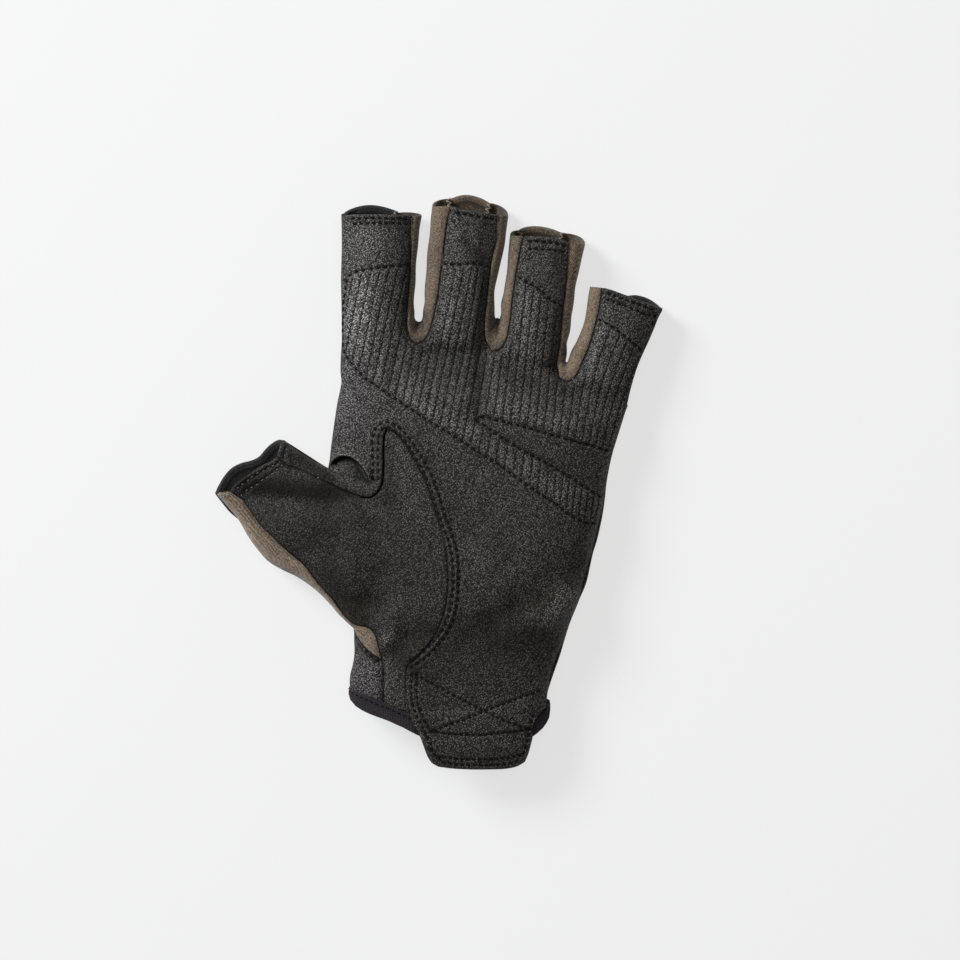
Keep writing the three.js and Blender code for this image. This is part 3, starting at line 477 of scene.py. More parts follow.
def quilt(p):
    """Extra height of the quilted field and its ribs, with painted highlights on the crests and painted shade along the
    quilting lines.
    """
    z = np.zeros(len(p))
    tone = np.zeros(len(p))
    lo, hi = QUILT_LOOP.min(0), QUILT_LOOP.max(0)
    near = np.flatnonzero(((p[:, :2] > lo) & (p[:, :2] < hi)).all(1))
    near = near[inside(p[near], QUILT_LOOP)]
    d, _ = distance(p[near], np.r_[QUILT_LOOP, QUILT_LOOP[:1]], reach=3.0)
    ph = rib_phase(p[near])
    f = np.abs(ph - np.round(ph)) * 2          # 0 on a line, 1 on a crest
    rib = np.sqrt(np.clip(1 - (1 - f) ** 2.2, 0, 1))
    dash = 0.5 + 0.5 * np.sin(p[near, 1] * 2 * np.pi / 2.3 + np.round(ph) * 1.9)
    edge = smoothstep(0.0, 1.5, d)
    z[near] = edge * (0.25 + 0.34 * rib - 0.12 * dash * np.exp(-(f / 0.22) ** 2))
    tone[near] = edge * (0.36 * rib - 0.07 - 1.4 * (0.25 + 0.75 * dash) * np.exp(-(f / 0.15) ** 2))
    return z, tone


def rib_lines():
    """The quilting lines, traced where the phase is a whole number."""
    ys = np.arange(-16, 82, 0.5)
    lines = []
    for n in range(-16, 34):
        x = np.full(len(ys), n * 3.1)
        for _ in range(25):
            ph = rib_phase(np.c_[x, ys])
            x += (n - ph) * 3.1 * 0.8
        pts = np.c_[x, ys]
        ok = inside(pts, QUILT_LOOP)
        d, _ = distance(pts, np.r_[QUILT_LOOP, QUILT_LOOP[:1]], reach=3.0)
        ok &= d > 0.9
        run = []
        for q, good in zip(pts, ok):
            if good:
                run.append(q)
            elif run:
                if len(run) > 5:
                    lines.append(np.array(run))
                run = []
        if len(run) > 5:
            lines.append(np.array(run))
    return lines


PITCH = {"tab": 2.2, "cross": 2.3, "hem": 2.45, "thumb": 2.3, "strip": 2.3, "patch": 2.3}


def pitch_of(name, line):
    wanted = PITCH.get(name.split("_")[0], 2.62)
    total = np.linalg.norm(np.diff(line, axis=0), axis=1).sum()
    return total / max(1, round(total / wanted))


GROOVES = [(THREADS[n], 0.42 if n.startswith(("crescent", "diagonal", "wedge", "rib")) else 0.3, 0.55, pitch_of(n, THREADS[n])) for n in THREADS]
SUNK = [(F1, 0.55, 0.8, 0.7), (F2, 0.55, 0.8, 0.7), (F3, 0.55, 0.8, 0.7), (GUSSET_SEAM, 0.6, 0.9, 0.8), (PATCH_UP, 0.5, 0.8, 0.8), (PATCH_LOW, 0.5, 0.8, 0.8),
        (CRESCENT, 0.45, 0.55, 0.4), (WELT, 0.5, 0.5, 0.8), (STRIP_SEAM, 0.5, 0.6, 0.5), (TAB_SIDE, 0.25, 0.5, 0.2), (WRIST_SEAM, 0.35, 0.5, 0.5), (TAB_SEAM, 0.1, 0.5, 0.1)]

CREASES = [
    (curve([(360, 640.6), (366, 648), (373, 653.6), (380, 658.6)]), 0.4, 0.4), (curve([(358.5, 643), (364, 651.4), (371.5, 657.5), (379, 661)]), 0.3, 0.4),
    (curve([(233.6, 497.5), (245, 511.6), (262, 530), (280, 547.6), (291.6, 558)]), 0.0, 0.4),
]
MOUTHS = [INDEX_MOUTH, MIDDLE_MOUTH, RING_MOUTH, LITTLE_MOUTH, THUMB_MOUTH, STRIP_MOUTH]
OVER_BAND = np.r_[PALM_LEFT_EDGE[::-1], TAB_SEAM[::-1], CORNER_RIGHT[::-1]]


def leather(p, side=0):
    """Height of the suede's face; side 1 is the palm leather, 2 the thumb panel, 3 the wrist panel."""
    z = body_top(p) + folds(p)
    tone = np.zeros(len(p))
    if side == 1:
        q, t = quilt(p)
        z += q
        tone += 0.55 * t
        # the palm leather is folded over along the welt, and lies over the cuff band
        d, _ = distance(p, WELT, reach=4.0)
        z += 0.75 * (1 - smoothstep(1.6, 3.2, d)) * (d < 4.0)
        d, _ = distance(p, CRESCENT, reach=5.0)
        z += 0.35 * (1 - smoothstep(2.8, 4.6, d)) * (d < 5.0)
    if side in (1, 4):
        d, _ = distance(p, OVER_BAND, reach=12.0)
        z += 1.1 * (1 - smoothstep(5.0, 11.0, d))
    for line, depth, width, pitch in GROOVES:
        d, along = distance(p, line, reach=2.2)
        dip = 0.5 - 0.5 * np.cos(2 * np.pi * along / pitch)
        z -= depth * (0.35 + 0.85 * dip) * np.exp(-(d / width) ** 2)
        z += 0.12 * np.exp(-((d - 1.15) / 0.5) ** 2)
        # painted shade in the stitch pits along each row
        tone -= (1.25 * dip - 0.05) * np.exp(-(d / 0.42) ** 2) * (d < 2.2)
    for line, depth, width, dark in SUNK:
        d, along = distance(p, line, reach=width * 3)
        if line is STRIP_SEAM:
            depth = depth * smoothstep(0.5, 3.5, along)
        z -= depth * np.exp(-(d / width) ** 2) * (d < width * 3)
        tone -= dark * np.exp(-(d / 0.35) ** 2) * (d < 1.2)
    for line, depth, width in CREASES:
        d, _ = distance(p, line, reach=3.0)
        z -= depth * np.exp(-(d / width) ** 2) * (d < 3.0)
        # painted shade along the crease
        tone -= 0.8 * np.exp(-(d / 0.3) ** 2) * (d < 1.2)
    for line in MOUTHS:
        d, _ = distance(p, line, reach=4.0)
        z += 0.3 * smoothstep(0.0, 0.5, d) * (1 - smoothstep(1.2, 1.8, d)) * (d < 4.0)
        z -= 0.3 * (1 - smoothstep(0.0, 0.45, d))
    if side in (2, 3):
        # the edge tucked under the cuff band
        line = BAND_TOP_LEFT[::-1]
        below = np.interp(p[:, 0], line[:, 0], line[:, 1]) - p[:, 1]
        z -= 1.5 * smoothstep(-0.05, 0.8, below)
    if side == 2 or side == 1:
        d, along = distance(p, CROTCH, reach=4.0)
        k = np.clip((along / 0.35).astype(int), 0, len(CROTCH) - 2)
        tangent, rel = CROTCH[k + 1] - CROTCH[k], p[:, :2] - CROTCH[k]
        low = (tangent[:, 0] * rel[:, 1] - tangent[:, 1] * rel[:, 0]) < 0
        q = along / (len(CROTCH) * 0.35)
        strength = (d < 4.0) * smoothstep(0.0, 0.1, q) * (1 - smoothstep(0.9, 1.0, q))
        # painted shade in the pocket below the fold, painted highlight along its ridge
        tone += strength * np.where(low, -1.6 * np.exp(-((d - 0.5) / 0.9) ** 2), 0.35 * np.exp(-((d - 0.6) / 0.6) ** 2))
    # small unevenness of the leather
    x, y = p[:, 0], p[:, 1]
    z += 0.10 * np.sin(x * 0.55 + 1.3 * np.sin(y * 0.31)) * np.sin(y * 0.47 + 1.1 * np.sin(x * 0.27 + 1))
    z += 0.05 * np.sin(x * 1.31 + y * 0.83) * np.sin(y * 1.17 - x * 0.71 + 0.6)
    if side in (1, 2, 3):
        z = np.maximum(z, SIDE_Z + 0.15)
    return z, tone


# ---------------------------------------------------------------------------
# Mesh helpers
# ---------------------------------------------------------------------------
def mesh_object(name, verts, faces, material, attributes=None, smooth=True):
    """verts in millimetres; faces is a list of index arrays, each n by 3 or n by 4."""
    me = bpy.data.meshes.new(name)
    verts = np.asarray(verts, float) * 0.001
    me.vertices.add(len(verts))
    me.vertices.foreach_set("co", verts.astype(np.float32).ravel())
    flat = np.concatenate([np.asarray(f, np.int32).ravel() for f in faces])
    sizes = np.concatenate([np.full(len(f), np.asarray(f).shape[1], np.int32) for f in faces])
    starts = np.r_[0, np.cumsum(sizes)[:-1]].astype(np.int32)
    me.loops.add(len(flat))
    me.loops.foreach_set("vertex_index", flat)
    me.polygons.add(len(sizes))
    me.polygons.foreach_set("loop_start", starts)
    me.polygons.foreach_set("use_smooth", np.full(len(sizes), smooth))
    me.update(calc_edges=True)
    me.validate()
    for key, values in (attributes or {}).items():
        a = me.attributes.new(key, "FLOAT", "POINT")
        a.data.foreach_set("value", np.asarray(values, np.float32))
    o = bpy.data.objects.new(name, me)
    bpy.context.scene.collection.objects.link(o)
    me.materials.append(material)
    return o


def hexgrid(lo, hi, step):
    ys = np.arange(lo[1], hi[1], step * 0.866)
    rows = []
    for k, y in enumerate(ys):
        xs = np.arange(lo[0] + (step / 2 if k % 2 else 0), hi[0], step)
        rows.append(np.c_[xs, np.full(len(xs), y)])
    g = np.concatenate(rows)
    return g + RNG.uniform(-0.08, 0.08, g.shape) * step


def triangulate(loop, points):
    n = len(loop)
    allp = np.r_[loop, points]
    vs = [Vector((float(a), float(b))) for a, b in allp]
    out_v, _, out_f, orig_v, _, _ = delaunay_2d_cdt(vs, [], [list(range(n))], 1, 1e-5)
    xy = np.array([(v.x, v.y) for v in out_v])
    where = np.full(n, -1)
    for k, o in enumerate(orig_v):
        for i in o:
            if i < n:
                where[i] = k
    return xy, np.array([f for f in out_f if len(f) == 3], np.int32), where


def signed_area(loop):
    x, y = loop[:, 0], loop[:, 1]
    return 0.5 * np.sum(x * np.roll(y, -1) - np.roll(x, -1) * y)


def make_loop(parts):
    """parts: list of (line, kind). Returns the loop, anticlockwise, and each point's kind."""
    pts, kinds = [], []
    for line, kind in parts:
        line = even(line, EDGE_STEP)
        for k, q in enumerate(line):
            if pts and np.linalg.norm(np.array(pts[-1]) - q) < 0.2:
                continue
            pts.append(tuple(q))
            kinds.append(kind)
    if np.linalg.norm(np.array(pts[0]) - np.array(pts[-1])) < 0.2:
        pts.pop()
        kinds.pop()
    pts, kinds = np.array(pts), np.array(kinds)
    if signed_area(pts) < 0:
        pts, kinds = pts[::-1], kinds[::-1]
    return pts, kinds


def loop_inward(loop):
    d = np.roll(loop, -1, axis=0) - np.roll(loop, 1, axis=0)
    d /= np.linalg.norm(d, axis=1)[:, None]
    return np.c_[-d[:, 1], d[:, 0]]


def panel(name, parts, face, back, material, step=None, inner_step=None, seam_inset=0.12, wall=WALL, side_z=SIDE_Z + 0.12, flip=False, fine_rows=(0.12, 0.32, 0.6), refine=(), inner_refine=(), painted=True, inner_tone=None):
    """A shaped panel: its face and back are heights over a region seen from above."""
    step = step or FINE
    loop, kinds = make_loop(parts)
    inward = loop_inward(loop)
    loop = loop + inward * np.select([kinds == "seam", kinds == "butt"], [seam_inset, 0.02], 0.0)[:, None]
    closed = np.r_[loop, loop[:1]]
    rows = []
    for r in fine_rows:
        rows.append(loop + inward * r)
    grid = hexgrid(loop.min(0), loop.max(0), step)
    grid = grid[inside(grid, loop)]
    d, _ = distance(grid, np.r_[loop, loop[:1]], reach=3.0)
    grid = grid[d > fine_rows[-1] + step * 0.45]
    extra = np.concatenate(rows)
    ok = inside(extra, loop)
    de, _ = distance(extra[ok], closed, reach=3.0)
    wanted = np.repeat(fine_rows, len(loop))[ok]
    extra = extra[ok][de > wanted * 0.8]
    taken, cells = [], set()
    for line, offsets in refine:
        for off in offsets:
            row = offset(even(line, 0.42), off)
            row = row[inside(row, loop)]
            if not len(row):
                continue
            dr, _ = distance(row, closed, reach=3.0)
            for q in row[dr > fine_rows[-1] + 0.2]:
                key = (int(q[0] / 0.24), int(q[1] / 0.24))
                if key not in cells:
                    cells.add(key)
                    taken.append(q)
        reach = max(abs(o) for o in offsets) + 0.3
        dg, _ = distance(grid, line, reach=3.0)
        grid = grid[dg > reach]
    if taken:
        extra = np.r_[extra, np.array(taken)]
    xy, tri, where = triangulate(loop, np.r_[extra, grid])
    z, tone = face(xy)
    side = np.isin(kinds, ("side", "crotch"))
    z[where[side]] = side_z
    outer = np.c_[xy, z]

    depth = np.where(np.isin(kinds, ("side", "crotch")), wall, np.where(np.isin(kinds, ("seam", "butt")), 0.0, 0.15))
    depth = np.convolve(np.r_[depth[-3:], depth, depth[:3]], np.ones(7) / 7, "valid")
    inner_loop = loop + inward * depth[:, None]
    grid = hexgrid(loop.min(0), loop.max(0), inner_step or COARSE)
    grid = grid[inside(grid, inner_loop)]
    d, _ = distance(grid, np.r_[inner_loop, inner_loop[:1]], reach=3.0)
    grid = grid[d > 1.0]
    for line, offsets in inner_refine:
        dg, _ = distance(grid, line, reach=6.0)
        grid = grid[dg > max(abs(o) for o in offsets) + 0.4]
        for off in offsets:
            row = offset(even(line, 0.7), off)
            row = row[inside(row, inner_loop)]
            if len(row):
                dr, _ = distance(row, np.r_[inner_loop, inner_loop[:1]], reach=3.0)
                grid = np.r_[grid, row[dr > 0.4]]
    ixy, itri, iwhere = triangulate(inner_loop, grid)
    iz = back(ixy)
    iz[iwhere[side]] = side_z + (0.0 if not flip else 0.0)
    # keep the wall at least half its thickness
    seam_rim = ~side
    target = outer[where][:, 2] + (wall if flip else -wall)
    iz[iwhere[seam_rim]] = target[seam_rim]
    # at the ends of an open edge the two faces close on each other
    iz[iwhere] = np.minimum(iz[iwhere], side_z) if flip else np.maximum(iz[iwhere], side_z - 0.25)
    inner = np.c_[ixy, iz]

    n0, n1 = len(outer), len(outer) + len(inner)
    a, b = outer[where], inner[iwhere]
    bulge = (a + b) / 2
    bulge[:, :2] -= inward * np.where(side, 0.12, np.where(np.isin(kinds, ("seam", "butt")), 0.0, 0.22))[:, None]
    m = len(loop)
    idx = np.arange(m)
    nxt = (idx + 1) % m
    oi, ii, bi = where, iwhere + n0, idx + n1
    rim = np.r_[np.c_[oi[idx], bi[idx], bi[nxt], oi[nxt]], np.c_[bi[idx], ii[idx], ii[nxt], bi[nxt]]]
    tris_out, tris_in = tri, itri + n0
    if flip:
        tris_out = tris_out[:, ::-1]
        rim = rim[:, ::-1]
    else:
        tris_in = tris_in[:, ::-1]
    verts = np.r_[outer, inner, bulge]
    print(name, "vertices", len(verts), "faces", len(tris_out) + len(tris_in) + 2 * m)
    tones = np.r_[tone, np.full(len(inner), -0.2) if inner_tone is None else inner_tone(ixy), np.full(m, -0.2 if inner_tone is None else 0.05)]
    attributes = {"tone": tones}
    # painted light and shade, and its brown tint, on the panels that take it
    if painted:
        attributes["shade"], attributes["brown"] = painted_shading(verts[:, :2])
    return mesh_object(name, verts, [np.r_[tris_out, tris_in], rim], material, attributes)


def slab(name, grid, thickness, material, tone=None, close=False, shade=0.0):
    """A curved strip from a grid of points, with its thickness on the inner side."""
    g = np.asarray(grid, float)
    ns, nw = g.shape[:2]
    du = np.gradient(g, axis=0)
    if close:
        du = (np.roll(g, -1, axis=0) - np.roll(g, 1, axis=0)) / 2
    dv = np.gradient(g, axis=1)
    n = np.cross(du, dv)
    n /= np.linalg.norm(n, axis=2)[:, :, None] + 1e-12
    t = np.broadcast_to(np.asarray(thickness, float), (ns, nw))
    inner = g - n * t[:, :, None]
    verts = np.r_[g.reshape(-1, 3), inner.reshape(-1, 3)]
    i, j = np.meshgrid(np.arange(ns if close else ns - 1), np.arange(nw - 1), indexing="ij")
    i, j = i.ravel(), j.ravel()
    i1 = (i + 1) % ns
    a, b, c, d = i * nw + j, i1 * nw + j, i1 * nw + j + 1, i * nw + j + 1
    off = ns * nw
    faces = [np.c_[a, b, c, d], np.c_[a, d, c, b] + off]
    e = np.arange(ns if close else ns - 1)
    e1 = (e + 1) % ns
    faces.append(np.c_[e * nw, e * nw + off, e1 * nw + off, e1 * nw])
    faces.append(np.c_[e * nw + nw - 1, e1 * nw + nw - 1, e1 * nw + nw - 1 + off, e * nw + nw - 1 + off])
    if not close:
        e = np.arange(nw - 1)
        faces.append(np.c_[e, e + 1, e + 1 + off, e + off])
        last = (ns - 1) * nw
        faces.append(np.c_[last + e, last + e + off, last + e + 1 + off, last + e + 1])
    tones = np.zeros(2 * off) if tone is None else np.r_[np.asarray(tone, float).ravel(), np.full(off, -0.3)]
    return mesh_object(name, verts, faces, material, {"tone": tones, "shade": np.full(len(tones), shade)})


S5 = np.array([-0.5, -0.36, 0.0, 0.36, 0.5])
R5 = np.array([0.5, 0.95, 1.0, 0.95, 0.5])


def stitch_mesh(name, c, up, material, radius, sides=6, flat=0.8):
    """c: n stitches by 5 points; up: the outward direction at each."""
    n = len(c)
    t = c[:, -1] - c[:, 0]
    t /= np.linalg.norm(t, axis=1)[:, None]
    across = np.cross(t, up)
    across /= np.linalg.norm(across, axis=1)[:, None] + 1e-9
    above = np.cross(across, t)
    ang = np.arange(sides) * 2 * np.pi / sides
    ring = np.cos(ang)[None, :, None] * across[:, None] + np.sin(ang)[None, :, None] * above[:, None] * flat
    v = (c[:, :, None, :] + ring[:, None] * (radius * R5)[None, :, None, None]).reshape(-1, 3)
    k = np.arange(sides)
    quads = np.concatenate([np.c_[r * sides + k, r * sides + (k + 1) % sides, (r + 1) * sides + (k + 1) % sides, (r + 1) * sides + k] for r in range(4)])[:, ::-1]
    base = (np.arange(n) * 5 * sides)[:, None, None]
    fan = np.array([[0, i, i + 1] for i in range(1, sides - 1)])
    tris = np.r_[(fan[None] + base).reshape(-1, 3), (fan[:, ::-1][None] + base + 4 * sides).reshape(-1, 3)]
    print(name, "stitches", n)
    return mesh_object(name, v, [tris, (quads[None] + base).reshape(-1, 4)], material)


def threads(name, lines, height, material, fill=0.62, radius=0.2, lift=0.1, sides=6, wobble=0.05, ends=-0.34):
    """Rows of stitches as one mesh; each dips into the leather at both ends. lines: (line, pitch)."""
    rise = np.array([ends, 0.02, lift, 0.02, ends])
    centres = []
    for line, pitch in lines:
        seg = np.r_[0, np.cumsum(np.linalg.norm(np.diff(line, axis=0), axis=1))]
        n = max(1, int(round(seg[-1] / pitch)))
        pitch = seg[-1] / n
        mid = (np.arange(n) + 0.5) * pitch
        ln = pitch * fill * RNG.uniform(0.9, 1.08, n)
        at = mid[:, None] + ln[:, None] * S5[None]
        x, y = np.interp(at, seg, line[:, 0]), np.interp(at, seg, line[:, 1])
        x += RNG.normal(0, wobble, (n, 1))
        y += RNG.normal(0, wobble, (n, 1))
        centres.append(np.stack([x, y], 2))
    c = np.concatenate(centres)
    n = len(c)
    z = height(c.reshape(-1, 2)).reshape(n, 5)
    z = z * 0.4 + z.mean(1, keepdims=True) * 0.6 + rise[None]
    c = np.concatenate([c, z[:, :, None]], 2)
    return stitch_mesh(name, c, np.broadcast_to([0, 0, 1.0], (n, 3)), material, radius, sides)


# ---------------------------------------------------------------------------
# Materials
# ---------------------------------------------------------------------------
def srgb(r, g, b):
    def f(v):
        v /= 255
        return v / 12.92 if v <= 0.04045 else ((v + 0.055) / 1.055) ** 2.4
    return (f(r), f(g), f(b), 1.0)


def new_material(name):
    m = bpy.data.materials.new(name)
    m.use_nodes = True
    nt = m.node_tree
    nt.nodes.clear()
    out = nt.nodes.new("ShaderNodeOutputMaterial")
    bsdf = nt.nodes.new("ShaderNodeBsdfPrincipled")
    nt.links.new(bsdf.outputs[0], out.inputs[0])
    return m, nt, bsdf


def link(nt, a, b):
    nt.links.new(a, b)


def noise(nt, coord, scale, detail=3.0, rough=0.6):
    n = nt.nodes.new("ShaderNodeTexNoise")
    n.inputs["Scale"].default_value = scale
    n.inputs["Detail"].default_value = detail
    n.inputs["Roughness"].default_value = rough
    link(nt, coord, n.inputs["Vector"])
    return n.outputs["Fac"]


def ramp(nt, fac, stops):
    r = nt.nodes.new("ShaderNodeValToRGB")
    while len(r.color_ramp.elements) < len(stops):
        r.color_ramp.elements.new(0.5)
    for e, (pos, col) in zip(r.color_ramp.elements, stops):
        e.position, e.color = pos, col
    link(nt, fac, r.inputs[0])
    return r.outputs[0]


def math_node(nt, op, a, b=None, c=None):
    n = nt.nodes.new("ShaderNodeMath")
    n.operation = op
    for k, v in enumerate((a, b, c)):
        if v is None:
            continue
        if isinstance(v, (int, float)):
            n.inputs[k].default_value = v
        else:
            link(nt, v, n.inputs[k])
    return n.outputs[0]


def mix_colour(nt, kind, fac, a, b):
    n = nt.nodes.new("ShaderNodeMix")
    n.data_type = "RGBA"
    n.blend_type = kind
    for key, v in (("Factor", fac), ("A", a), ("B", b)):
        socket = [s for s in n.inputs if s.name == key and s.enabled][0]
        if isinstance(v, (int, float)):
            socket.default_value = v
        elif isinstance(v, tuple):
            socket.default_value = v
        else:
            link(nt, v, socket)
    return [s for s in n.outputs if s.enabled][0]


def attribute(nt, name):
    a = nt.nodes.new("ShaderNodeAttribute")
    a.attribute_name = name
    return a.outputs["Fac"]


def object_coord(nt):
    return nt.nodes.new("ShaderNodeTexCoord").outputs["Object"]


def bump(nt, bsdf, heights, distance_m):
    previous = None
    for height, strength in heights:
        b = nt.nodes.new("ShaderNodeBump")
        b.inputs["Strength"].default_value = strength
        b.inputs["Distance"].default_value = distance_m
        link(nt, height, b.inputs["Height"])
        if previous is not None:
            link(nt, previous, b.inputs["Normal"])
        previous = b.outputs[0]
    link(nt, previous, bsdf.inputs["Normal"])


def suede_material(name, dark, mid, light, brown):
    """Synthetic suede with a fine pebbled grain and a little shine on the tips."""
    m, nt, bsdf = new_material(name)
    co = object_coord(nt)
    # the cells are turned, so that their layers don't show as rings on a
    # nearly flat palm
    turned = nt.nodes.new("ShaderNodeMapping")
    turned.inputs["Rotation"].default_value = (0.58, 0.41, 0.7)
    link(nt, co, turned.inputs["Vector"])

    def cells(scale):
        v = nt.nodes.new("ShaderNodeTexVoronoi")
        v.inputs["Scale"].default_value = scale
        v.inputs["Randomness"].default_value = 0.78
        link(nt, turned.outputs[0], v.inputs["Vector"])
        split = nt.nodes.new("ShaderNodeSeparateColor")
        link(nt, v.outputs["Color"], split.inputs[0])
        return v.outputs["Distance"], split.outputs[0]
    dist, level = cells(1700)
    pebble = math_node(nt, "SUBTRACT", 1.0, dist)
    grain = noise(nt, co, 2900, 2.0, 0.6)
    blotch = noise(nt, co, 420, 3.0, 0.6)
    broad = noise(nt, co, 30, 2.0, 0.5)
    # lighter pebbles among darker creases; some pebbles are a little brighter, as painted glints
    mixed = math_node(nt, "MULTIPLY", math_node(nt, "SUBTRACT", pebble, 0.575), 0.42)
    mixed = math_node(nt, "ADD", mixed, math_node(nt, "MULTIPLY", math_node(nt, "SUBTRACT", level, 0.5), 0.055))
    mixed = math_node(nt, "ADD", mixed, math_node(nt, "MULTIPLY", math_node(nt, "SUBTRACT", grain, 0.5), 0.20))
    mixed = math_node(nt, "ADD", mixed, math_node(nt, "MULTIPLY", math_node(nt, "SUBTRACT", blotch, 0.5), 0.05))
    # tone carries painted shade in creases, grooves and stitch pits, painted highlights on ridges, and the dark seam
    # lines
    mixed = math_node(nt, "ADD", mixed, math_node(nt, "MULTIPLY", attribute(nt, "tone"), 0.17))
    mixed = math_node(nt, "ADD", mixed, 0.5)
    col = ramp(nt, mixed, [(0.33, dark), (0.50, mid), (0.70, light)])
    # a broad random warm variation of the suede, plus the brown of the painted shading: warmer in the painted shade,
    # cooler on the lit side
    warm = math_node(nt, "ADD", math_node(nt, "MULTIPLY", math_node(nt, "SUBTRACT", broad, 0.5), 0.5), attribute(nt, "brown"))
    for sign, tint in ((1.0, brown), (-1.0, (1.0, 0.955, 1.03, 1))):
        clamp = nt.nodes.new("ShaderNodeClamp")
        link(nt, math_node(nt, "MULTIPLY", warm, sign), clamp.inputs[0])
        col = mix_colour(nt, "MIX", clamp.outputs[0], col, mix_colour(nt, "MULTIPLY", 1.0, col, tint))
    # painted light and shade: the colour is scaled by two to the power of the shade attribute
    shade = math_node(nt, "POWER", 2.0, attribute(nt, "shade"))
    scale = nt.nodes.new("ShaderNodeVectorMath")
    scale.operation = "SCALE"
    link(nt, col, scale.inputs[0])
    link(nt, shade, scale.inputs["Scale"])
    link(nt, scale.outputs[0], bsdf.inputs["Base Color"])
    rough = ramp(nt, mixed, [(0.35, (0.78, 0.78, 0.78, 1)), (0.68, (0.46, 0.46, 0.46, 1))])
    link(nt, rough, bsdf.inputs["Roughness"])
    bsdf.inputs["Specular IOR Level"].default_value = 0.15
    bump(nt, bsdf, [(pebble, 0.7), (grain, 0.5)], 0.00028)
    return m


def knit_material(name, dark, light, pitch=0.00058, angle=35.0, depth=0.00022, sheen=0.15):
    """Fine diagonal twill: two crossed sets of fine ribs."""
    m, nt, bsdf = new_material(name)
    co = object_coord(nt)

    def bands(rot, p):
        mp = nt.nodes.new("ShaderNodeMapping")
        mp.inputs["Rotation"].default_value = rot
        link(nt, co, mp.inputs["Vector"])
        w = nt.nodes.new("ShaderNodeTexWave")
        w.bands_direction = "X"
        w.inputs["Scale"].default_value = 0.314 / p
        w.inputs["Distortion"].default_value = 0.5
        w.inputs["Detail"].default_value = 1.0
        w.inputs["Detail Scale"].default_value = 1.5
        link(nt, mp.outputs[0], w.inputs["Vector"])
        return w.outputs["Fac"]
    a = bands((0.5, 0.35, math.radians(angle)), pitch)
    b = bands((0.4, -0.3, math.radians(angle - 78)), pitch * 1.3)
    weave = math_node(nt, "ADD", math_node(nt, "MULTIPLY", a, 0.6), math_node(nt, "MULTIPLY", b, 0.4))
    fuzz = noise(nt, co, 1500, 3.0, 0.65)
    broad = noise(nt, co, 90, 2.0, 0.5)
    fac = math_node(nt, "ADD", math_node(nt, "MULTIPLY", weave, 0.22), math_node(nt, "MULTIPLY", fuzz, 0.78))
    fac = math_node(nt, "ADD", fac, math_node(nt, "MULTIPLY", math_node(nt, "SUBTRACT", broad, 0.5), 0.18))
    # tone carries painted shade in the strips' creases and pleats and deeper inside the mouths
    fac = math_node(nt, "ADD", fac, math_node(nt, "MULTIPLY", attribute(nt, "tone"), 0.5))
    col = ramp(nt, fac, [(0.35, dark), (0.65, light)])
    # painted light and shade: the colour is scaled by two to the power of the shade attribute
    lift = nt.nodes.new("ShaderNodeVectorMath")
    lift.operation = "SCALE"
    link(nt, col, lift.inputs[0])
    link(nt, math_node(nt, "POWER", 2.0, attribute(nt, "shade")), lift.inputs["Scale"])
    link(nt, lift.outputs[0], bsdf.inputs["Base Color"])
    bsdf.inputs["Roughness"].default_value = 0.92
    bsdf.inputs["Sheen Weight"].default_value = sheen
    bsdf.inputs["Sheen Roughness"].default_value = 0.5
    bsdf.inputs["Specular IOR Level"].default_value = 0.2
    bump(nt, bsdf, [(weave, 0.45), (fuzz, 0.5)], depth)
    return m


def thread_material(name, colour, rough=0.6):
    m, nt, bsdf = new_material(name)
    co = object_coord(nt)
    f = noise(nt, co, 2500, 2.0, 0.6)
    col = ramp(nt, f, [(0.3, tuple(c * 0.6 for c in colour[:3]) + (1,)), (0.7, colour)])
    link(nt, col, bsdf.inputs["Base Color"])
    bsdf.inputs["Roughness"].default_value = rough
    bsdf.inputs["Specular IOR Level"].default_value = 0.12
    bump(nt, bsdf, [(f, 0.6)], 0.00012)
    return m


SUEDE = suede_material("suede", srgb(8, 8, 7), srgb(38, 37, 35.6), srgb(117, 115, 112), (0.97, 0.80, 0.62, 1))
KNIT = knit_material("taupe_knit", srgb(43, 35, 28), srgb(115, 101, 85), pitch=0.00045)
BLACK = knit_material("black_fabric", srgb(12, 12, 12), srgb(48, 47, 46), sheen=0.05)
BAND = knit_material("elastic_band", srgb(15, 12, 15), srgb(38, 33, 37), pitch=0.0006, angle=90, depth=0.0003, sheen=0.08)
THREAD = thread_material("thread_black", srgb(10, 10, 10), 0.9)
THREAD_LIGHT = thread_material("thread_worn", srgb(146, 138, 128), 0.45)
THREAD_GREY = thread_material("thread_grey", srgb(104, 98, 90), 0.6)
THREAD_BROWN = thread_material("overlock_brown", srgb(62, 50, 40), 0.8)

made = []


def keep(o, node, slot):
    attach(o, "root")
    if node:
        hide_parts(*([node] if isinstance(node, str) else node))
    made.append(o)
    return o


# ---------------------------------------------------------------------------
# Leather panels
# ---------------------------------------------------------------------------
def back_of(p):
    return np.maximum(body_top(p, WALL) + folds(p) * 0.9, SIDE_Z)


CROTCH_ROWS = (-2.4, -1.9, -1.5, -1.1, -0.8, -0.55, -0.3, -0.12, 0.05, 0.25, 0.5, 0.85, 1.3)
STITCH_ROWS = (-0.9, -0.55, -0.25, 0.0, 0.25, 0.55, 0.9)
RIB_ROWS = (-1.1, -0.7, -0.35, 0.0, 0.35, 0.7, 1.1)
RIBS = rib_lines()
FINE_LINES = [(CROTCH, CROTCH_ROWS)] + [(line, STITCH_ROWS) for line in THREADS.values()] + [(line, RIB_ROWS) for line in RIBS]

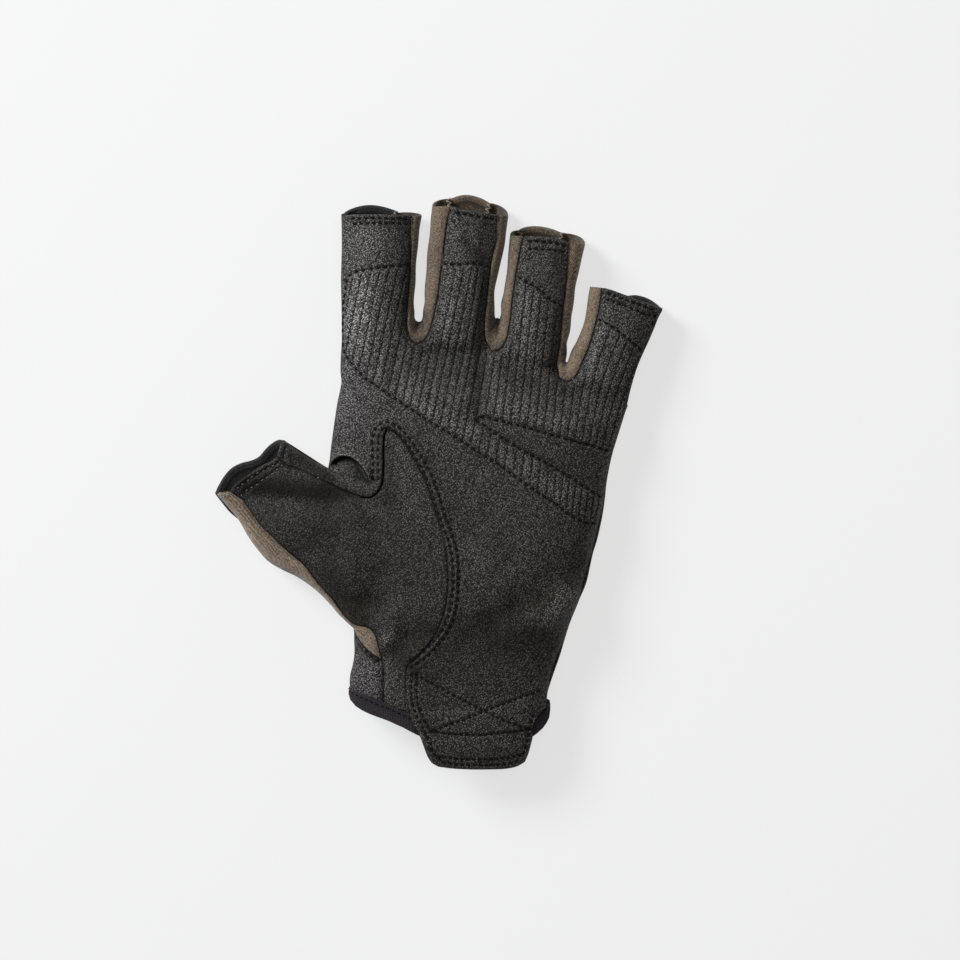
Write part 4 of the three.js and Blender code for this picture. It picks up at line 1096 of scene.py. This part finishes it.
palm = panel("palm_leather", [
    (INDEX_MOUTH, "hem"), (F1, "seam"), (MIDDLE_MOUTH, "hem"), (F2, "seam"), (RING_MOUTH, "hem"), (F3, "seam"), (LITTLE_MOUTH, "hem"),
    (RIGHT_SIDE, "side"), (CORNER_RIGHT, "hem"), (TAB_SEAM, "butt"), (PALM_LEFT_EDGE, "hem"), (TAB_SIDE, "butt"), (CRESCENT[::-1], "butt"),
    (WELT[::-1], "seam"), (STRIP_SEAM[::-1], "seam"), (STRIP_MOUTH, "hem"), (STRIP_TOP, "side"), (LEFT_SIDE, "side")],
    lambda p: leather(p, 1), back_of, SUEDE, refine=FINE_LINES)
keep(palm, "palm_panel", "suede")

GUSSET_TO_WRIST = np.r_[GUSSET_SEAM[:-1], PATCH_UP]
thumb = panel("thumb_leather", [
    (THUMB_MOUTH, "hem"), (STRIP_SEAM, "seam"), (WELT, "seam"), (CRESCENT, "butt"), (TAB_SIDE[::-1], "butt"),
    (P([(410.8, 712), (412.8, 717.2)]), "butt"), (BAND_UNDER_RIGHT, "hem"), (WRIST_SEAM, "butt"), (GUSSET_TO_WRIST[::-1], "seam")],
    lambda p: leather(p, 2), back_of, SUEDE, refine=FINE_LINES)
keep(thumb, "thumb_panel", "suede")

wrist = panel("wrist_side_leather", [
    (PATCH_LOW[::-1], "butt"), (WRIST_LEFT, "side"), (BAND_UNDER_LEFT[::-1], "hem"), (WRIST_SEAM, "butt")],
    lambda p: leather(p, 3), back_of, SUEDE)
keep(wrist, "wrist_side_panel", "suede")


# ---------------------------------------------------------------------------
# Side strips of knit
# ---------------------------------------------------------------------------
def strip_grid(rows, count, across=(9, 7), under_z=0.25, seam_drop=0.45, end_z=None, inner=1.1):
    seam, edge, under = fork_lines(rows, count)
    inward = seam - edge
    width = np.linalg.norm(inward, axis=1)
    inward /= width[:, None]
    seam = seam - inward * 0.14
    zs = body_top(seam) - seam_drop
    zs = np.maximum(zs, SIDE_Z + 1.0)
    lift = under * 0
    wu = np.linalg.norm(under - edge, axis=1)
    if len(rows[0]) > 5:
        low_only = fork_lines([row[:5] for row in rows], count)[2]
        lift = under - low_only
        wu = np.linalg.norm(low_only - edge, axis=1)
    th = np.linspace(np.pi / 2, 0, across[0])
    pts = []
    for t in th:
        d = (width - 0.14) * (1 - np.cos(t))
        z = SIDE_Z + (zs - SIDE_Z) * np.sin(t)
        pts.append(np.c_[edge + inward * d[:, None], z])
    th = np.linspace(0, np.pi / 2, across[1])[1:]
    for t in th:
        d = wu * (1 - np.cos(t))
        bottom = under_z + (SIDE_Z - 1.2 - under_z) * (1 - smoothstep(1.0, 3.0, wu))
        z = SIDE_Z - (SIDE_Z - bottom) * np.sin(t)
        pts.append(np.c_[edge + inward * d[:, None] + lift * np.sin(t) ** 0.8, z])
    return np.stack(pts, 1)


def fork(name, node, rows):
    g = strip_grid(rows, 300, (16, 12))
    ns, nw = g.shape[:2]
    # soft hollows where the knit is pulled at the root, and small ripples
    s = np.linspace(0, 1, ns)[:, None]
    w = np.linspace(0, 1, nw)[None]
    seam_pull = np.exp(-(w / 0.07) ** 2)
    root = np.exp(-((s - 0.5) / 0.07) ** 2)
    ripple = 0.22 * np.sin(s * 46 + 3 * np.sin(w * 4)) * np.sin(np.pi * w) ** 2 * (0.3 + np.exp(-((s - 0.5) / 0.18) ** 2))
    du, dv = np.gradient(g, axis=0), np.gradient(g, axis=1)
    n = np.cross(du, dv)
    n /= np.linalg.norm(n, axis=2)[:, :, None] + 1e-9
    middle = g.mean((0, 1))
    # outward is away from the stall: point the normals up at the seam
    if (n[:, 0, 2]).mean() < 0:
        g = g[::-1]
        n = -n[::-1]
    g = g + n * (ripple[::1] - 0.25 * seam_pull)[:, :, None]
    crease = -1.1 * root * np.exp(-((w - 0.42) / 0.22) ** 2)
    for at, depth in ((0.5, 0.7), (0.462, 0.4), (0.54, 0.4)):
        line = np.exp(-((s - at - 0.02 * w) / 0.009) ** 2) * smoothstep(0.12, 0.3, w) * (1 - smoothstep(0.6, 0.8, w))
        crease = crease - depth * line
    g[:, :, 2] += crease * np.linspace(1, 1, nw)[None]
    # painted shade in the hollow at the root, along the seam and in the crease lines
    tone = -0.25 * root * np.exp(-((w - 0.4) / 0.3) ** 2) - 0.1 * seam_pull
    for at in (0.5, 0.462, 0.54):
        tone = tone - 0.5 * np.exp(-((s - at - 0.02 * w) / 0.007) ** 2) * smoothstep(0.12, 0.3, w)
    o = slab(name, g, 1.1, KNIT, tone, shade=STRIP_PAINTED_LIGHT[node])
    keep(o, node, "taupe_knit")
    return g


# painted light and shade on the knit: each strip a little lighter or darker
STRIP_PAINTED_LIGHT = {"fourchette_index_middle": -0.22, "fourchette_middle_ring": -0.12, "fourchette_ring_little": 0.15}
fork_grids = {}
for node, rows in FORKS.items():
    fork_grids[node] = fork("strip_" + node.replace("fourchette_", ""), node, rows)


GUSSET_HEM = []


def gusset():
    g = strip_grid(GUSSET, 420, (30, 10))
    ns, nw = g.shape[:2]
    du, dv = np.gradient(g, axis=0), np.gradient(g, axis=1)
    n = np.cross(du, dv)
    n /= np.linalg.norm(n, axis=2)[:, :, None] + 1e-9
    if (n[:, 0, 2]).mean() < 0:
        g, n = g[::-1], -n[::-1]
    s = np.linspace(0, 1, ns)[:, None]
    w = np.linspace(0, 1, nw)[None]
    ripple = 0.12 * np.sin(s * 26 + 2 * np.sin(w * 3)) * np.sin(np.pi * w) ** 2
    # fine lengthwise folds beside the seam, strongest near the mouth
    if g[0, 0, 0] > g[-1, 0, 0]:
        s = s[::-1]
    pleats = -0.32 * (0.5 - 0.5 * np.cos(w * 2 * np.pi / 0.115)) * (1 - smoothstep(0.26, 0.42, w)) * (0.25 + 0.75 * (1 - smoothstep(0.15, 0.5, s)))
    g = g + n * (ripple + pleats - 0.25 * np.exp(-(w / 0.05) ** 2))[:, :, None]
    rows = (3, 8) if s[0, 0] < s[-1, 0] else (ns - 4, ns - 9)
    for row in rows:
        GUSSET_HEM.append((g[row, :int(nw * 0.62)] + n[row, :int(nw * 0.62)] * 0.03, n[row, :int(nw * 0.62)]))
    # painted shade along the seam and in the pleats; shade 0.4 lightens the whole strip as painted light
    return slab("thumb_strip", g, 1.1, KNIT, -0.1 * np.exp(-(w / 0.06) ** 2) + 0.8 * pleats + 0 * s, shade=0.4)


keep(gusset(), "thumb_gusset", "taupe_knit")


for number, (path, normal) in enumerate(GUSSET_HEM):
    seg = np.r_[0, np.cumsum(np.linalg.norm(np.diff(path, axis=0), axis=1))]
    count = max(2, int(seg[-1] / 1.5))
    at = (np.arange(count)[:, None] + 0.5 + 0.62 * S5[None]) * seg[-1] / count
    c = np.stack([np.interp(at, seg, path[:, j]) for j in range(3)], 2)
    up = np.stack([np.interp(at[:, 2], seg, normal[:, j]) for j in range(3)], 1)
    c = c + up[:, None] * np.array([-0.15, 0.1, 0.2, 0.1, -0.15])[None, :, None]
    keep(stitch_mesh("thumb_strip_stitches_%d" % number, c, up, THREAD_LIGHT, 0.15), None, "taupe_knit")


def patch_face(p):
    z = body_top(p) + folds(p)
    for line in (PATCH_UP, PATCH_LOW):
        d, _ = distance(p, line, reach=3.0)
        z -= 0.55 * np.exp(-(d / 0.8) ** 2)
    d, _ = distance(p, P([(360, 632), (374, 652)]), reach=6.0)
    z += 0.8 * np.exp(-(d / 2.4) ** 2)
    return z, np.zeros(len(p))


patch = panel("thumb_strip_end", [(PATCH_UP, "seam"), (PATCH_LOW[::-1], "butt")], patch_face, back_of, KNIT, step=0.5, wall=1.1, painted=False)
keep(patch, None, "taupe_knit")


# ---------------------------------------------------------------------------
# The back of the glove
# ---------------------------------------------------------------------------
U1, U2, U3, UG = (SEAM[n][2] for n in (*FORKS, "thumb_gusset"))
half1, half3 = 100, 105
BACK_INDEX_MOUTH = curve([(341, 213.4), (350, 207.6), (358, 204.8), (370, 203.4), (382, 205), (392, 208), (397.5, 210)])
BACK_MIDDLE_MOUTH = curve([(446.5, 197.6), (452, 196.4), (459, 194), (467, 193.2), (476, 194.8), (484, 198), (490.5, 202)])
BACK_RING_MOUTH = curve([(518.5, 228.6), (526, 225.6), (534, 224.6), (544, 225.4), (554, 228), (563.5, 232)])
BACK_LITTLE_MOUTH = curve([(605, 289), (616, 292), (624, 294.8), (637, 294.2), (650, 298), (662.8, 308)])
BACK_THUMB_MOUTH = curve([(214, 493), (217.5, 485.5), (223, 476), (230, 468.4), (240, 463.2), (250, 460.6), (258, 456.6), (264, 449.6), (270, 444), (278.6, 439.8), (284, 440)])
IDX_SEAM = curve([(412, 336), (402, 352), (386, 374), (366, 398), (337, 418)])
LIT_SEAM = curve([(570, 374), (582, 388), (600, 398), (628, 404)])
THB_SEAM = curve([(327.7, 468), (300, 492), (272, 508), (254, 516), (238.6, 520)])
THUMB_EDGE = curve([(214, 493.2), (222.2, 503.8), (229.6, 512.6), (238.6, 520)])
right_low = RIGHT_SIDE[RIGHT_SIDE[:, 1] < 28.4].copy()
right_low[:, 0] += 0.4 * smoothstep(-44, -38, right_low[:, 1])
right_high = RIGHT_SIDE[RIGHT_SIDE[:, 1] >= 28.4]
left_low = LEFT_SIDE[LEFT_SIDE[:, 1] < 23.0]
left_high = LEFT_SIDE[LEFT_SIDE[:, 1] >= 23.0]
CUFF_BACK = curve([(546.4, 706), (535, 710), (500, 711.6), (450, 709), (400, 703.6), (370, 697), (351.8, 692)])


def low_face(p):
    """The back, which lies flat, and goes up a little into the cuff band."""
    line = CUFF_BACK[::-1]
    inside_band = np.interp(p[:, 0], line[:, 0], line[:, 1]) + 2.0 - p[:, 1]
    z = np.maximum(body_low(p), 0.0) + 0.75 * smoothstep(-2.5, 0.5, inside_band) * (p[:, 1] < -60)
    return z, np.zeros(len(p))


BACK_MOUTHS = [BACK_INDEX_MOUTH, BACK_MIDDLE_MOUTH, BACK_RING_MOUTH, BACK_LITTLE_MOUTH, BACK_THUMB_MOUTH]


def low_back(p):
    """Inner face of the back, with the turned-in hem round each mouth."""
    z = np.maximum(body_low(p, WALL), WALL)
    for line in BACK_MOUTHS:
        d, _ = distance(p, line, reach=5.0)
        z += 0.55 * (np.exp(-((d - 1.0) / 0.45) ** 2) + 0.8 * np.exp(-((d - 2.2) / 0.4) ** 2)) * (d < 5.0)
    return z


def mouth_painted_shade(p):
    """Painted shade inside each mouth: the cloth deeper inside is darker than the turned-in hem, and darkest along the
    hem's fold line.
    """
    tone = np.full(len(p), -0.34)
    for line in BACK_MOUTHS:
        d, _ = distance(p, line, reach=6.0)
        near = d < 6.0
        tone[near] = np.maximum(tone[near], -0.34 + 0.24 * (1 - smoothstep(1.6, 2.4, d[near])))
        tone -= 0.5 * np.exp(-((d - 2.65) / 0.28) ** 2) * near
    return tone


def back_panel(name, node, slot_name, parts, material):
    o = panel(name, parts, low_face, low_back, material, step=1.3, inner_step=1.6, side_z=SIDE_Z + 0.15, flip=True, painted=False, inner_tone=mouth_painted_shade,
              inner_refine=[(line, (-2.8, -2.3, -1.9, -1.5, -1.1, -0.7, 0.7, 1.1, 1.5, 1.9, 2.3, 2.8)) for line in BACK_MOUTHS])
    return keep(o, node, slot_name)


def out(line, d=0.25):
    return line


# how far along each under-seam the hidden seams start
def cut(line, k0, k1):
    n = len(line)
    return line[int(n * k0):int(n * k1)]


back_panel("index_back_cloth", "index_back", "black_fabric",
           [(BACK_INDEX_MOUTH, "hem"), (cut(U1, 0, 0.46), "seam"), (IDX_SEAM, "seam"), (left_high, "side")], BLACK)
back_panel("little_back_cloth", "little_back", "black_fabric",
           [(BACK_LITTLE_MOUTH, "hem"), (right_high, "side"), (LIT_SEAM[::-1], "seam"), (cut(U3, 0.56, 1.0), "seam")], BLACK)
back_panel("thumb_back_cloth", "thumb_back", "black_fabric",
           [(BACK_THUMB_MOUTH, "hem"), (STRIP_TOP, "side"), (THB_SEAM, "seam"), (THUMB_EDGE[::-1], "side")], BLACK)
back_panel("hand_back_knit", "back_panel", "taupe_knit",
           [(cut(U1, 0.49, 1.0), "seam"), (BACK_MIDDLE_MOUTH, "hem"), (U2, "seam"), (BACK_RING_MOUTH, "hem"), (cut(U3, 0, 0.54), "seam"),
            (LIT_SEAM, "seam"), (right_low, "side"), (CUFF_BACK, "seam"), (WRIST_LEFT[::-1], "side"), (cut(UG, 0.2, 1.0)[::-1], "seam"),
            (THB_SEAM[::-1], "seam"), (left_low, "side"), (IDX_SEAM[::-1], "seam")], KNIT)


# ---------------------------------------------------------------------------
# Raw seam ends seen inside the finger mouths: overlocked, with short threads
# ---------------------------------------------------------------------------
# x, y of the visible end, height, lean (degrees), width, length
SEAM_ENDS = [(448.0, 197.4, 2.6, 14, 2.5, 8.0), (490.0, 202.0, 2.6, -16, 2.6, 8.0), (519.4, 228.6, 2.6, 14, 2.3, 8.0), (562.8, 231.4, 2.6, -14, 2.3, 8.0), (395.6, 209.8, 2.4, -14, 1.8, 6.0)]


def seam_ends():
    vs, fs = [], []
    centres, ups = [], []
    off = 0
    for x, y, z, lean, width, length in SEAM_ENDS:
        c = P([(x, y)])[0]
        a = math.radians(lean)
        axis = np.array([math.sin(a), -math.cos(a), 0.0])
        cross = np.array([math.cos(a), math.sin(a), 0.0])
        n, k = 14, 14
        t = np.linspace(0, 1, n)
        ang = np.arange(k) * 2 * np.pi / k
        for i, u in enumerate(t):
            r = math.sqrt(max(0.0, 1 - (1 - min(1, u * 5 + 0.12)) ** 2)) * (1 - 0.5 * u)
            m = np.array([c[0], c[1], z]) + axis * u * length + cross * 0.15 * math.sin(u * 9) + np.array([0, 0, -0.3 * u])
            ring = m + np.outer(np.cos(ang), cross) * r * width * 0.5 + np.outer(np.sin(ang), [0, 0, 1]) * r * 1.5
            ring += RNG.normal(0, 0.05, ring.shape)
            vs.append(ring)
        i, j = np.meshgrid(np.arange(n - 1), np.arange(k), indexing="ij")
        i, j = i.ravel(), j.ravel()
        fs.append(np.c_[i * k + j, i * k + (j + 1) % k, (i + 1) * k + (j + 1) % k, (i + 1) * k + j] + off)
        first = np.c_[np.full(k - 2, off), off + np.arange(2, k), off + np.arange(1, k - 1)]
        last = off + (n - 1) * k + np.c_[np.zeros(k - 2, int), np.arange(1, k - 1), np.arange(2, k)]
        fs.append(np.c_[first, first[:, 2:3]])
        fs.append(np.c_[last, last[:, 2:3]])
        off += n * k
        for q in range(5):
            start = np.array([c[0], c[1], z]) + axis * (0.3 + 0.85 * q)
            s = np.linspace(-0.75, 0.75, 5) * width * 0.6
            arc = start + np.outer(s, cross * 0.9 + axis * (0.5 if q % 2 else -0.5)) + np.outer(1.35 - 0.55 * (s / (width * 0.45)) ** 2, [0, 0, 1.0])
            centres.append(arc)
            ups.append([0, 0, 1.0])
    tri = []
    quad = []
    for f in fs:
        same = f[:, 2] == f[:, 3]
        tri.append(f[same][:, :3])
        quad.append(f[~same])
    o = mesh_object("seam_allowances", np.concatenate(vs), [np.concatenate(tri), np.concatenate(quad)], THREAD_BROWN)
    return o, stitch_mesh("overlock_threads", np.array(centres), np.array(ups), THREAD_LIGHT, 0.15, 5)


for o in seam_ends():
    keep(o, None, "taupe_knit")


# ---------------------------------------------------------------------------
# Cuff band: a knitted elastic folded over the edge of the wrist
# ---------------------------------------------------------------------------
CUFF_EDGE = np.array([(350.2, 697), (351.6, 701.6), (355.6, 706.6), (361, 709.9), (367, 712.6), (376, 715.9), (387, 719.6), (402.7, 726.4), (420, 735.4), (440, 742),
                      (480, 745), (515, 743), (532.7, 736.6), (538, 733), (542.8, 729), (546, 724.6), (548, 719.6), (548.6, 713)], float)
# height of the band along its left and right ends (steps across, millimetres)
CUFF_HEIGHT = [(350.2, 3.9), (355, 6.3), (366, 6.8), (387, 6.4), (411, 6.5), (530, 6.5), (534, 9.5), (541, 9.5), (545.5, 8.4), (547.6, 6.2), (548.6, 4.8)]


def cuff_band():
    edge = P(CUFF_EDGE)
    order = np.argsort(edge[:, 0])
    ex, ey = edge[order, 0], edge[order, 1]
    tube = TUBES["hand"]
    ns = 1100
    ang = np.linspace(0, 2 * np.pi, ns, endpoint=False)
    xl, xr = edge[0, 0], edge[-1, 0]
    front_x, front_h = np.array(CUFF_HEIGHT).T
    back_x, back_h = np.array([(350.2, 3.9), (356, 6.0), (542, 6.0), (548.6, 4.8)]).T
    cx, a = (xl + xr) / 2, (xr - xl) / 2
    n = 2.35
    cs, sn = np.cos(ang), np.sin(ang)
    ux = np.sign(cs) * np.abs(cs) ** (2 / n)
    x = cx + a * ux
    back = P([(350.2, 697), (400, 709), (450, 714), (500, 716), (548.6, 713)])
    y = np.where(sn >= 0, np.interp(x, ex, ey), np.interp(x, back[:, 0], back[:, 1]))
    up = np.clip(np.sign(sn) * np.abs(sn) ** (2 / n), -1, 1)
    height_up = 19.0 - SIDE_Z
    low = SIDE_Z - 0.15 + SAG * 0.9
    z = np.where(sn >= 0, SIDE_Z + height_up * up, SIDE_Z + low * up)
    base = np.c_[x, y, z]
    # outward direction in the section plane
    d = np.roll(base, -1, axis=0) - np.roll(base, 1, axis=0)
    outward = np.c_[d[:, 2], np.zeros(ns), -d[:, 0]]
    outward /= np.linalg.norm(outward, axis=1)[:, None]
    centre = np.array([cx, 0, SIDE_Z])
    flip = np.sum(outward * (base * [1, 0, 1] - centre), axis=1) < 0
    outward[flip] *= -1
    # profile: from the top of the band outside, over the edge, and back inside
    h, t = 6.4, 2.3
    prof = [(h, 0.0), (h - 0.25, 0.42), (h - 1.1, 0.5), (h - 1.5, 0.34), (h - 1.9, 0.32), (h - 2.3, 0.5), (h - 3.2, 0.62), (h - 4.2, 0.64), (1.2, 0.56), (0.5, 0.3), (0.08, -0.35),
            (0.0, -1.0), (0.1, -1.6), (0.6, -2.1), (1.4, -2.3), (3.2, -2.3), (4.8, -2.2), (h - 0.6, -2.1), (h, -1.6)]
    prof = np.array(prof)
    t_ = np.r_[0, np.cumsum(np.linalg.norm(np.diff(prof, axis=0), axis=1))]
    prof = hermite(t_, prof, np.linspace(0, t_[-1], 26))
    g = np.zeros((ns, len(prof), 3))
    rib = np.sin(ang * 200 + 0.5 * np.sin(ang * 9))
    tall = np.where(sn >= 0, np.interp(x, (front_x - CX) * U, front_h), np.interp(x, (back_x - CX) * U, back_h)) / h
    for k, (along, off) in enumerate(prof):
        knit = 0.075 * rib * (1.0 if 0.4 < along < h - 2.4 and off > 0 else 0.25)
        # the leather lies over the band in the middle of the palm side
        covered = (sn > 0) * smoothstep(-9.5, -4.5, x) * (1 - smoothstep(33.0, 36.0, x))
        o = off + knit - 1.6 * covered
        line = CORNER_RIGHT[::-1]
        past = y + along * tall - np.interp(x, line[:, 0], line[:, 1])
        o = o - 1.7 * smoothstep(-0.5, 0.6, past) * smoothstep(33.0, 35.0, x) * (1 - smoothstep(39.6, 40.6, x)) * (sn > 0)
        g[:, k] = base + outward * o[:, None]
        g[:, k, 1] += along * tall
    g[:, :, 2] = np.maximum(g[:, :, 2], 0.02)
    ns_, nw = g.shape[:2]
    verts = g.reshape(-1, 3)
    i, j = np.meshgrid(np.arange(ns_), np.arange(nw), indexing="ij")
    i, j = i.ravel(), j.ravel()
    i1, j1 = (i + 1) % ns_, (j + 1) % nw
    faces = np.c_[i * nw + j, i * nw + j1, i1 * nw + j1, i1 * nw + j]
    tone = np.zeros((ns_, nw)) + 0.0
    tone[:, 3:6] -= 0.12
    o = mesh_object("cuff_elastic", verts, [faces], BAND, {"tone": tone.ravel()})
    # a row of stitches in the groove below the band's upper edge, all round
    path = base + outward * 0.34
    path[:, 1] += 4.75 * tall
    path[:, 2] = np.maximum(path[:, 2], 0.3)
    seg = np.r_[0, np.cumsum(np.linalg.norm(np.diff(path, axis=0), axis=1))]
    n = int(seg[-1] / 2.2)
    at = (np.arange(n)[:, None] + 0.5 + 0.6 * S5[None]) * seg[-1] / n
    c = np.stack([np.interp(at, seg, path[:, j]) for j in range(3)], 2)
    up = np.stack([np.interp(at[:, 2], seg, outward[:, j]) for j in range(3)], 1)
    rise = np.array([-0.2, 0.16, 0.3, 0.16, -0.2])
    c = c + up[:, None] * rise[None, :, None]
    shown = ~((up[:, 2] > 0.3) & (c[:, 2, 0] > -7.5) & (c[:, 2, 0] < 35.0))
    stitches = stitch_mesh("cuff_stitches", c[shown], up[shown], THREAD, 0.24)
    return o, stitches


band, band_stitches = cuff_band()
keep(band, "cuff_binding", "elastic_band")
keep(band_stitches, None, "elastic_band")


# ---------------------------------------------------------------------------
# Pull tab
# ---------------------------------------------------------------------------
TAB_LEFT = curve([(418.4, 729.9), (421, 736), (424.6, 746), (428.4, 756), (432.4, 762), (438.6, 765.6)])
TAB_BOTTOM = curve([(438.6, 765.6), (452, 767.4), (470, 768.4), (490, 768.5), (507, 767.8), (517, 765.6), (524.6, 761.4)])
TAB_RIGHT = curve([(524.6, 761.4), (528, 753), (530.4, 744), (532.2, 736), (531.6, 729.1)])


def tab_face(p):
    z, tone = leather(p, 4)
    droop = np.clip((-96.0 - p[:, 1]) / 10.0, 0, None)
    z -= 1.6 * droop ** 1.6
    loop = np.r_[TAB_LEFT, TAB_BOTTOM, TAB_RIGHT]
    d, _ = distance(p, loop, reach=3.0)
    z -= 0.35 * (1 - smoothstep(0.0, 0.7, d))
    return z, tone


def tab_back(p):
    z = tab_face(p)[0]
    return z - 2.3


tab = panel("tab_leather", [(TAB_SEAM, "seam"), (TAB_LEFT, "hem"), (TAB_BOTTOM, "hem"), (TAB_RIGHT, "hem")], tab_face, tab_back, SUEDE, wall=2.3, seam_inset=0.18)
keep(tab, "pull_tab", "suede")


# ---------------------------------------------------------------------------
# Stitching
# ---------------------------------------------------------------------------
def face_height(p):
    z = leather(p, 1)[0]
    t = p[:, 1] < -91.6
    if t.any():
        z[t] = tab_face(p[t])[0]
    return z


dark_rows = [(line, pitch_of(name, line)) for name, line in THREADS.items() if name not in LIGHT_THREADS]
keep(threads("seam_stitches", dark_rows, face_height, THREAD, fill=0.58, radius=0.32, lift=0.24, ends=-0.25), None, "suede")
keep(threads("thumb_mouth_stitches", [(THREADS[n], pitch_of(n, THREADS[n])) for n in LIGHT_THREADS], lambda p: leather(p, 2)[0], THREAD_GREY, fill=0.5, radius=0.17, lift=0.24, wobble=0.14), None, "suede")


keep(threads("quilting_stitches", [(line, 1.85) for line in RIBS], face_height, THREAD, fill=0.6, radius=0.17, lift=0.12, sides=5, wobble=0.05, ends=-0.18), None, "suede")

# ---------------------------------------------------------------------------
# Floor, light, camera
# ---------------------------------------------------------------------------
for o in list(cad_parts.values()):
    o.data.materials.clear()
    o.data.materials.append(SUEDE)

profile = [(0.0, -0.0004), (1.0, -0.0004), (1.9, -0.0004)] + [(1.9 + 0.6 * math.sin(a), 0.6 - 0.6 * math.cos(a) - 0.0004) for a in np.linspace(0.1, math.pi / 2, 16)] + [(2.5, 1.3)]
turn = np.linspace(0, 2 * np.pi, 128, endpoint=False)
ring = np.array([[(r * math.cos(t), r * math.sin(t), z) for t in turn] for r, z in profile[1:]]).reshape(-1, 3)
i, j = np.meshgrid(np.arange(len(profile) - 2), np.arange(128), indexing="ij")
i, j = i.ravel(), j.ravel()
quads = np.c_[i * 128 + j, (i + 1) * 128 + j, (i + 1) * 128 + (j + 1) % 128, i * 128 + (j + 1) % 128]
me = bpy.data.meshes.new("floor")
me.from_pydata(ring.tolist(), [], [list(range(128))] + quads.tolist())
for f in me.polygons:
    f.use_smooth = f.index > 0
floor = bpy.data.objects.new("floor", me)
bpy.context.scene.collection.objects.link(floor)
mat, nt, bsdf = new_material("pale_floor")
bsdf.inputs["Base Color"].default_value = (0.16, 0.16, 0.16, 1)
bsdf.inputs["Roughness"].default_value = 0.9
bsdf.inputs["Specular IOR Level"].default_value = 0.0
bsdf.inputs["Emission Color"].default_value = (1, 1, 1, 1)
bsdf.inputs["Emission Strength"].default_value = 0.67
me.materials.append(mat)


def area(name, location, target, size, power, colour=(1, 1, 1)):
    d = bpy.data.lights.new(name, "AREA")
    d.shape = "DISK"
    d.size = size
    d.energy = power
    d.color = colour
    o = bpy.data.objects.new(name, d)
    o.location = location
    o.rotation_euler = (Vector(target) - Vector(location)).to_track_quat("-Z", "Y").to_euler()
    bpy.context.scene.collection.objects.link(o)
    return o


area("key", (-1.25, 0.95, 1.0), (0, 0, 0), 0.8, 60.0, (0.97, 0.98, 1.0))
area("top", (0.2, 0.2, 2.2), (0, 0, 0), 1.2, 9.0, (1.0, 0.98, 0.96))
world = bpy.data.worlds.new("studio")
world.use_nodes = True
world.node_tree.nodes["Background"].inputs[0].default_value = (1, 1, 1, 1)
world.node_tree.nodes["Background"].inputs[1].default_value = 0.20
bpy.context.scene.world = world

cam = bpy.data.cameras.new("camera")
cam.lens = 150
cam.sensor_width = 36
cam.clip_end = 20
camera = bpy.data.objects.new("camera", cam)
camera.location = ((480 - CX) * U * 0.001, (CY - 480) * U * 0.001, 1.483)
camera.rotation_euler = (0, 0, 0)
bpy.context.scene.collection.objects.link(camera)
bpy.context.scene.camera = camera
bpy.context.scene.view_settings.view_transform = "Standard"
bpy.context.scene.view_settings.look = "None"
